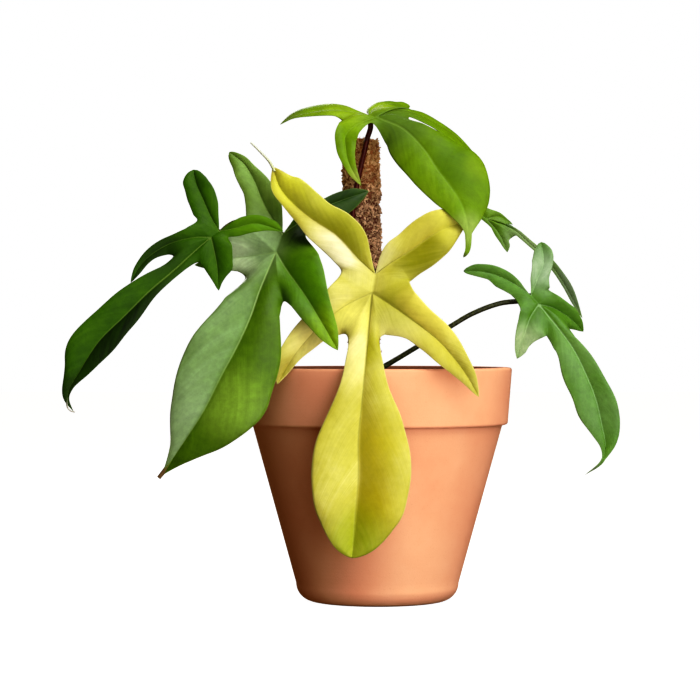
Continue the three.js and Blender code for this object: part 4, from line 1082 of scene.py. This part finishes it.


# A tint is its centre and reach in millimetres, its colour and strength, and the half of the
# lobe that it keeps to: 1 for the half on the right hand of one who looks along the vein, -1
# for the other, and 0 for both. Those marked below are painted light and shade.
LOOKS = {
    "ghost": {
        "name": "pale_ghost_leaf", "slot": "leaf_yellow", "bands": 0.12, "clouds": 0.4, "lines": 0.16,
        "flesh": ("#a49e28", "#bcb650", "#d0ca76"), "gloss": 0.2, "relief": 1.0, "mottle": 0.07,
        "rib": ("#74721a", 0.65), "edge": ("#dcd68c", 0.5), "under": "#c8c464",
        "tints_and_painted_light": [
            # Painted shade, these two: the terminal lobe's right half, darker by the midrib where it turns
            # from the light.
            ((-6, -97, 108), 36, "#b0a41a", 0.8, -1),
            ((-8, -100, 72), 36, "#a89c10", 0.9, -1),
            # Painted highlight: a pale patch on the left half of the neck.
            ((-10, -82, 176), 52, "#ded592", 0.9, 1),
            ((-14, -101, 42), 38, "#8c9a0c", 0.8, 0),
            # Painted shade, these two: the left ear's upper half, darker where it faces away from the light.
            ((-52, -64, 264), 58, "#b4b63c", 0.9, 1),
            ((-24, -62, 240), 34, "#9a9c20", 0.8, 1),
            # Painted highlight: the left ear's lower half in cream, where it faces the light.
            ((-20, -62, 232), 38, "#e4deb2", 1.0, -1),
            ((-67, -66, 284), 14, "#8c7e24", 0.8, 0),
            # Painted shade: the right ear's lower half, darker by its vein.
            ((28, -60, 230), 36, "#86860e", 1.0, 1),
            ((10, -78, 196), 30, "#98981a", 0.7, 0),
            # Painted shade: the neck right of the midrib.
            ((-6, -82, 168), 28, "#9c9a1c", 0.9, -1),
            ((34, -60, 250), 36, "#c0b84c", 0.9, -1),
            # Painted light and shade, these two: one half of the right arm painted paler and the other
            # darker, as they turn to and from the light.
            ((34, -80, 190), 36, "#dcd060", 0.9, -1),
            ((44, -84, 176), 30, "#b4ac34", 0.7, 1),
            # Painted light: the left arm, lightened where it lies in shade.
            ((-48, -76, 175), 22, "#f0e690", 0.9, 0),
            # Painted highlight: a pale spot by the neck.
            ((-18, -76, 187), 18, "#ece47c", 0.9, 0),
            # Painted light: the end of the left ear, lightened where it turns from the light.
            ((-60, -66, 271), 20, "#cccc40", 0.9, 0),
            # Painted light: the end of the right ear, lightened over the top leaf's contact shadow.
            ((50, -60, 250), 20, "#e0dc60", 0.9, 0),
            ((-60, -74, 156), 14, "#98882c", 0.6, 0),
        ]},
    "front_left": {
        "name": "green_leaf", "slot": "leaf_green", "bands": 0.08, "clouds": 0.45, "lines": 0.08,
        "flesh": ("#3e5a04", "#4e6e08", "#608418"), "gloss": 0.22, "relief": 1.2, "mottle": 0.16,
        "rib": ("#9ab46c", 0.7), "edge": ("#88a050", 0.3), "under": "#5f7c42",
        "tints_and_painted_light": [
            # Painted sheen: the terminal lobe's left half, pale and greyish.
            ((-108, -80, 160), 100, "#7a9660", 0.9, 1),
            # Painted light: the terminal's lower left, where it turns down from the light.
            ((-124, -88, 120), 46, "#88a072", 0.9, 1),
            ((-92, -88, 134), 34, "#84a43c", 0.9, -1),
            # Painted light: the bay by the upper lobe, which faces down.
            ((-84, -58, 236), 34, "#90a878", 0.9, 0),
            # Painted sheen: the upper lobe.
            ((-84, -50, 274), 40, "#7c9a4a", 0.9, 0),
            # Painted shade: the right ear, dark where it lies behind the yellow leaf's ear.
            ((-20, -42, 268), 52, "#26420a", 1.0, 0),
            ((-42, -76, 212), 40, "#548206", 0.9, 0),
            ((-30, -87, 176), 28, "#84a616", 0.8, 0),
            # Painted shade: by the fork, under the yellow leaf's ear.
            ((-50, -56, 240), 18, "#1a2e04", 1.0, 0),
            # Painted sheen: a near-white patch in the bay by the upper lobe.
            ((-92, -70, 228), 20, "#e4f0cc", 1.0, 0),
        ]},
    "far_left": {
        "name": "dark_green_leaf", "slot": "leaf_dark", "bands": 0.16, "clouds": 0.35, "lines": 0.05,
        "flesh": ("#284604", "#3a6005", "#4e780c"), "gloss": 0.12, "relief": 0.4, "mottle": 0.1,
        "rib": ("#82a04c", 0.65), "edge": ("#3c5814", 0.2), "under": "#34501f",
        "tints_and_painted_light": [
            ((-74, -77, 252), 34, "#5e8a0a", 0.9, 0),
            # Painted shade: the terminal lobe's lower half, nearly black where it faces away from the light.
            ((-160, -92, 180), 70, "#16240a", 0.95, -1),
            # Painted shade: the left arm.
            ((-140, -82, 232), 26, "#1e3206", 0.8, 0),
            # Painted shade: the terminal's tip.
            ((-194, -94, 140), 20, "#1c2c06", 0.9, 0),
        ]},
    "top": {
        "name": "bright_green_leaf", "slot": "leaf_bright", "bands": 0.14, "clouds": 0.35, "lines": 0.08,
        "flesh": ("#587608", "#6a8a0c", "#829e20"), "gloss": 0.12, "relief": 0.6, "mottle": 0.1,
        "rib": ("#8ca850", 0.4), "edge": ("#7c9a2c", 0.2), "under": "#688440",
        "tints_and_painted_light": [
            # Painted sheen: a greyish patch by the joint.
            ((14, -36, 320), 36, "#5c7a30", 0.9, 0),
            ((-22, -27, 324), 26, "#8aa224", 0.8, 0),
            ((-62, -27, 318), 20, "#5c6e2a", 0.8, 0),
            ((2, -12, 329), 14, "#93ac2e", 0.9, 0),
            ((48, -56, 288), 30, "#56780c", 0.9, -1),
            ((64, -54, 286), 14, "#76900e", 0.7, -1),
            ((-12, -59, 277), 14, "#9aa450", 0.8, 0),
            ((57, -66, 246), 16, "#98ac58", 0.8, 0),
            ((54.6, -67, 227.6), 5, "#3c3a24", 1.0, 0),
        ]},
    "right": {
        "name": "mid_green_leaf", "slot": "leaf_green", "bands": 0.15, "clouds": 0.35, "lines": 0.06,
        "flesh": ("#426a14", "#517d20", "#6c9436"), "gloss": 0.3, "relief": 0.6, "mottle": 0.14,
        "rib": ("#9ab884", 0.6), "edge": ("#7c945c", 0.3), "under": "#50703c",
        "tints_and_painted_light": [
            # Painted sheen, these four: pale grey on the ear, on the left margin and along the terminal's
            # midrib.
            ((108, -3, 221), 22, "#93a788", 0.9, 0),
            ((97, -20, 172), 20, "#98a880", 0.9, 0),
            ((130, -24, 162), 32, "#76965a", 0.5, 0),
            ((144, -34, 128), 28, "#6a8a50", 0.6, 0),
            ((137, -39, 87), 16, "#2c2c12", 1.0, 0),
        ]},
    "back_right": {
        "name": "shaded_green_leaf", "slot": "leaf_green", "bands": 0.2, "clouds": 0.35, "lines": 0.06,
        "flesh": ("#426410", "#587e1a", "#709828"), "gloss": 0.25, "relief": 0.6, "mottle": 0.14,
        "rib": ("#78944c", 0.5), "edge": ("#6c8c28", 0.3), "under": "#4c6c34",
        "tints_and_painted_light": [
            ((80, 35, 272), 26, "#6c8c14", 0.8, 0),
            # Painted sheen, these two: greyish patches along the terminal's vein.
            ((104, 33, 240), 26, "#8a9c70", 0.7, 0),
            ((130, 31, 208), 34, "#5f6f54", 0.9, 0),
        ]},
}

green_stalk = stalk_skin("green_leaf_stalk", "#2c3010", "#5a5a20")
other_stalks = {
    "top": stalk_skin("maroon_leaf_stalk", "#46140c", "#74281a"),
    "right": stalk_skin("mottled_leaf_stalk", "#2a2e12", "#5c6030"),
}
for name, leaf in LEAVES.items():
    look = LOOKS[name]
    points, faces, layers, outward = blade(leaf)
    add_piece(
        f"blade_{name}", points, faces, leaf_skin(look), [f"leaf_{name}"], attributes=layers)
    joint = np.array(leaf["joint"], float)
    route = [*leaf["stalk"]["path"], joint - outward * STALK_STRAIGHT, joint - outward * STALK_SEAT]
    path, length = even_curve(route, STALK_POINTS)
    from_foot = np.linspace(0, length, STALK_POINTS)
    at_foot = FOOT_SWELL[0] * np.exp(-from_foot / FOOT_SWELL[1])
    at_top = TOP_SWELL[0] * np.exp(-(length - from_foot) / TOP_SWELL[1])
    points, faces = tube(path, leaf["stalk"]["radius"] * (1 + at_foot + at_top), STALK_SIDES)
    skin = other_stalks.get(name, green_stalk)
    add_piece(f"petiole_{name}", points, faces, skin, [f"stalk_{name}"])

# Dry leaf tips
# Where a leaf ends in a drip tip, the last of it dries to a thread or a brown stub that stays
# on. It is dead leaf tissue, stiff and dull, and grows out of the blade.
TIPS = {
    "ghost": {
        "path": [[-66.8, -66.5, 283], [-70, -67, 289], [-76, -68, 295.5], [-82.1, -69, 301.4]],
        "radius": (1.0, 0.55), "green": "#c4ca9c", "dry": "#ccd0bc"},
    "front_left": {
        "path": [[-131, -86.4, 98.5], [-135.5, -86, 92.5], [-140, -86, 86.8]],
        "radius": (1.7, 1.3), "green": "#6a8c1c", "dry": "#6b4f28"},
    "far_left": {
        "path": [[-197.4, -94, 138], [-197.2, -93.5, 132], [-195.1, -93, 129.6], [-192.6, -92.5, 128.9]],
        "radius": (0.6, 0.3), "green": "#4a5c2c", "dry": "#b9b5a6"},
}
TIP_POINTS = 40
TIP_SIDES = 20
DRY_FLECK = 0.714


def dry_tip(name, tip):
    """Leaf tissue that has dried: its own green at the foot, fading along it to a dull dead colour
    with faint flecks."""
    material, shader = new_material(f"dry_tip_{name}")
    place = add(material, "TexCoord").outputs["Object"]
    own = add(material, "Attribute", attribute_name="dry")
    dry = add(material, "SeparateXYZ", {0: own.outputs["Vector"]})
    fleck = add(material, "TexNoise", {"Vector": place, "Scale": per_metre(DRY_FLECK), "Detail": 2})
    level = add(material, "Math", {0: fleck, 1: 0.3, 2: dry}, operation="MULTIPLY_ADD")
    shade = add(material, "ValToRGB", {0: level}, stops=((0.25, tip["green"]), (0.75, tip["dry"])))
    connect(material, shader, {"Base Color": shade, "Roughness": 0.8})
    return material


for name, tip in TIPS.items():
    path, _ = even_curve(tip["path"], TIP_POINTS)
    points, faces = tube(path, np.linspace(*tip["radius"], TIP_POINTS), TIP_SIDES)
    dry = round_tube(np.linspace(0, 1, TIP_POINTS), TIP_SIDES)
    add_piece(
        f"tip_{name}", points, faces, dry_tip(name, tip), attributes={"dry": dry})

# Studio
# The photograph's long lens from the front, at about the height of the rim, in a white room. A
# large soft key light stands in front to the right, with a smaller one to its right, one behind
# and one overhead. A faint one by the pot's foot is what white paper throws back.
CAMERA = {"x": -18.3, "distance": 1700, "height": 179, "tilt": 0.384, "lens": 130.5}
SWEEP = 6000
MIDDLE = (0, 0, 170)

camera = bpy.data.objects.new("camera", bpy.data.cameras.new("camera"))
camera.data.lens = CAMERA["lens"]
camera.data.clip_end = 20
camera.location = np.array([CAMERA["x"], -CAMERA["distance"], CAMERA["height"]]) * MM
camera.rotation_euler = (math.radians(90 - CAMERA["tilt"]), 0, 0)
bpy.context.scene.collection.objects.link(camera)
bpy.context.scene.camera = camera

paper, shader = new_material("white_paper_sweep")
connect(paper, shader, {
    "Base Color": "#6a6a6a", "Roughness": 0.9, "Emission Color": "#ffffff", "Emission Strength": 0.98})
corners = SWEEP * np.array([(-1, -1, 0), (1, -1, 0), (1, 1, 0), (-1, 1, 0)])
floor = new_object("floor", corners, [(0, 1, 2, 3)])
floor.data.materials.append(paper)
floor.visible_diffuse = False
floor.visible_glossy = False


def soft_box(name, place, aim, size, power):
    """A square area light at place, turned to face aim; millimetres and watts."""
    light = bpy.data.lights.new(name, "AREA")
    light.size = size * MM
    light.energy = power
    lamp = bpy.data.objects.new(name, light)
    from_aim = np.array(place, float) - aim
    flat = math.hypot(from_aim[0], from_aim[1])
    lamp.rotation_euler = (math.atan2(flat, from_aim[2]), 0, math.atan2(from_aim[0], -from_aim[1]))
    lamp.location = np.array(place) * MM
    lamp.visible_camera = False
    bpy.context.scene.collection.objects.link(lamp)


soft_box("key", (860, -1400, 640), MIDDLE, 1900, 26.5)
soft_box("side", (1150, -420, 1000), MIDDLE, 600, 3.5)
soft_box("back", (-500, 1500, 1000), MIDDLE, 1000, 15)
soft_box("overhead", (300, -700, 1400), MIDDLE, 900, 15)
soft_box("bounce", (90, -330, 3), (20, 0, 30), 300, 0.45)

world = bpy.data.worlds.new("white_room")
world.use_nodes = True
bpy.context.scene.world = world
ray = add(world, "LightPath")
room = add(world, "Mix", {
    "Factor": ray.outputs["Is Camera Ray"], 6: "#614d29", 7: "#ffffff"}, data_type="RGBA")
connect(world, world.node_tree.nodes["Background"], {"Color": room.outputs[2]})

# The photograph's contrast: its deepest shadows fall away to nearly pure colour.
film = bpy.context.scene.view_settings
film.view_transform = "Standard"
film.use_curve_mapping = True
for value, shown in ((0.03, 0.010), (0.1, 0.055), (0.3, 0.235), (0.6, 0.6)):
    film.curve_mapping.curves[3].points.new(value, shown)
film.curve_mapping.update()
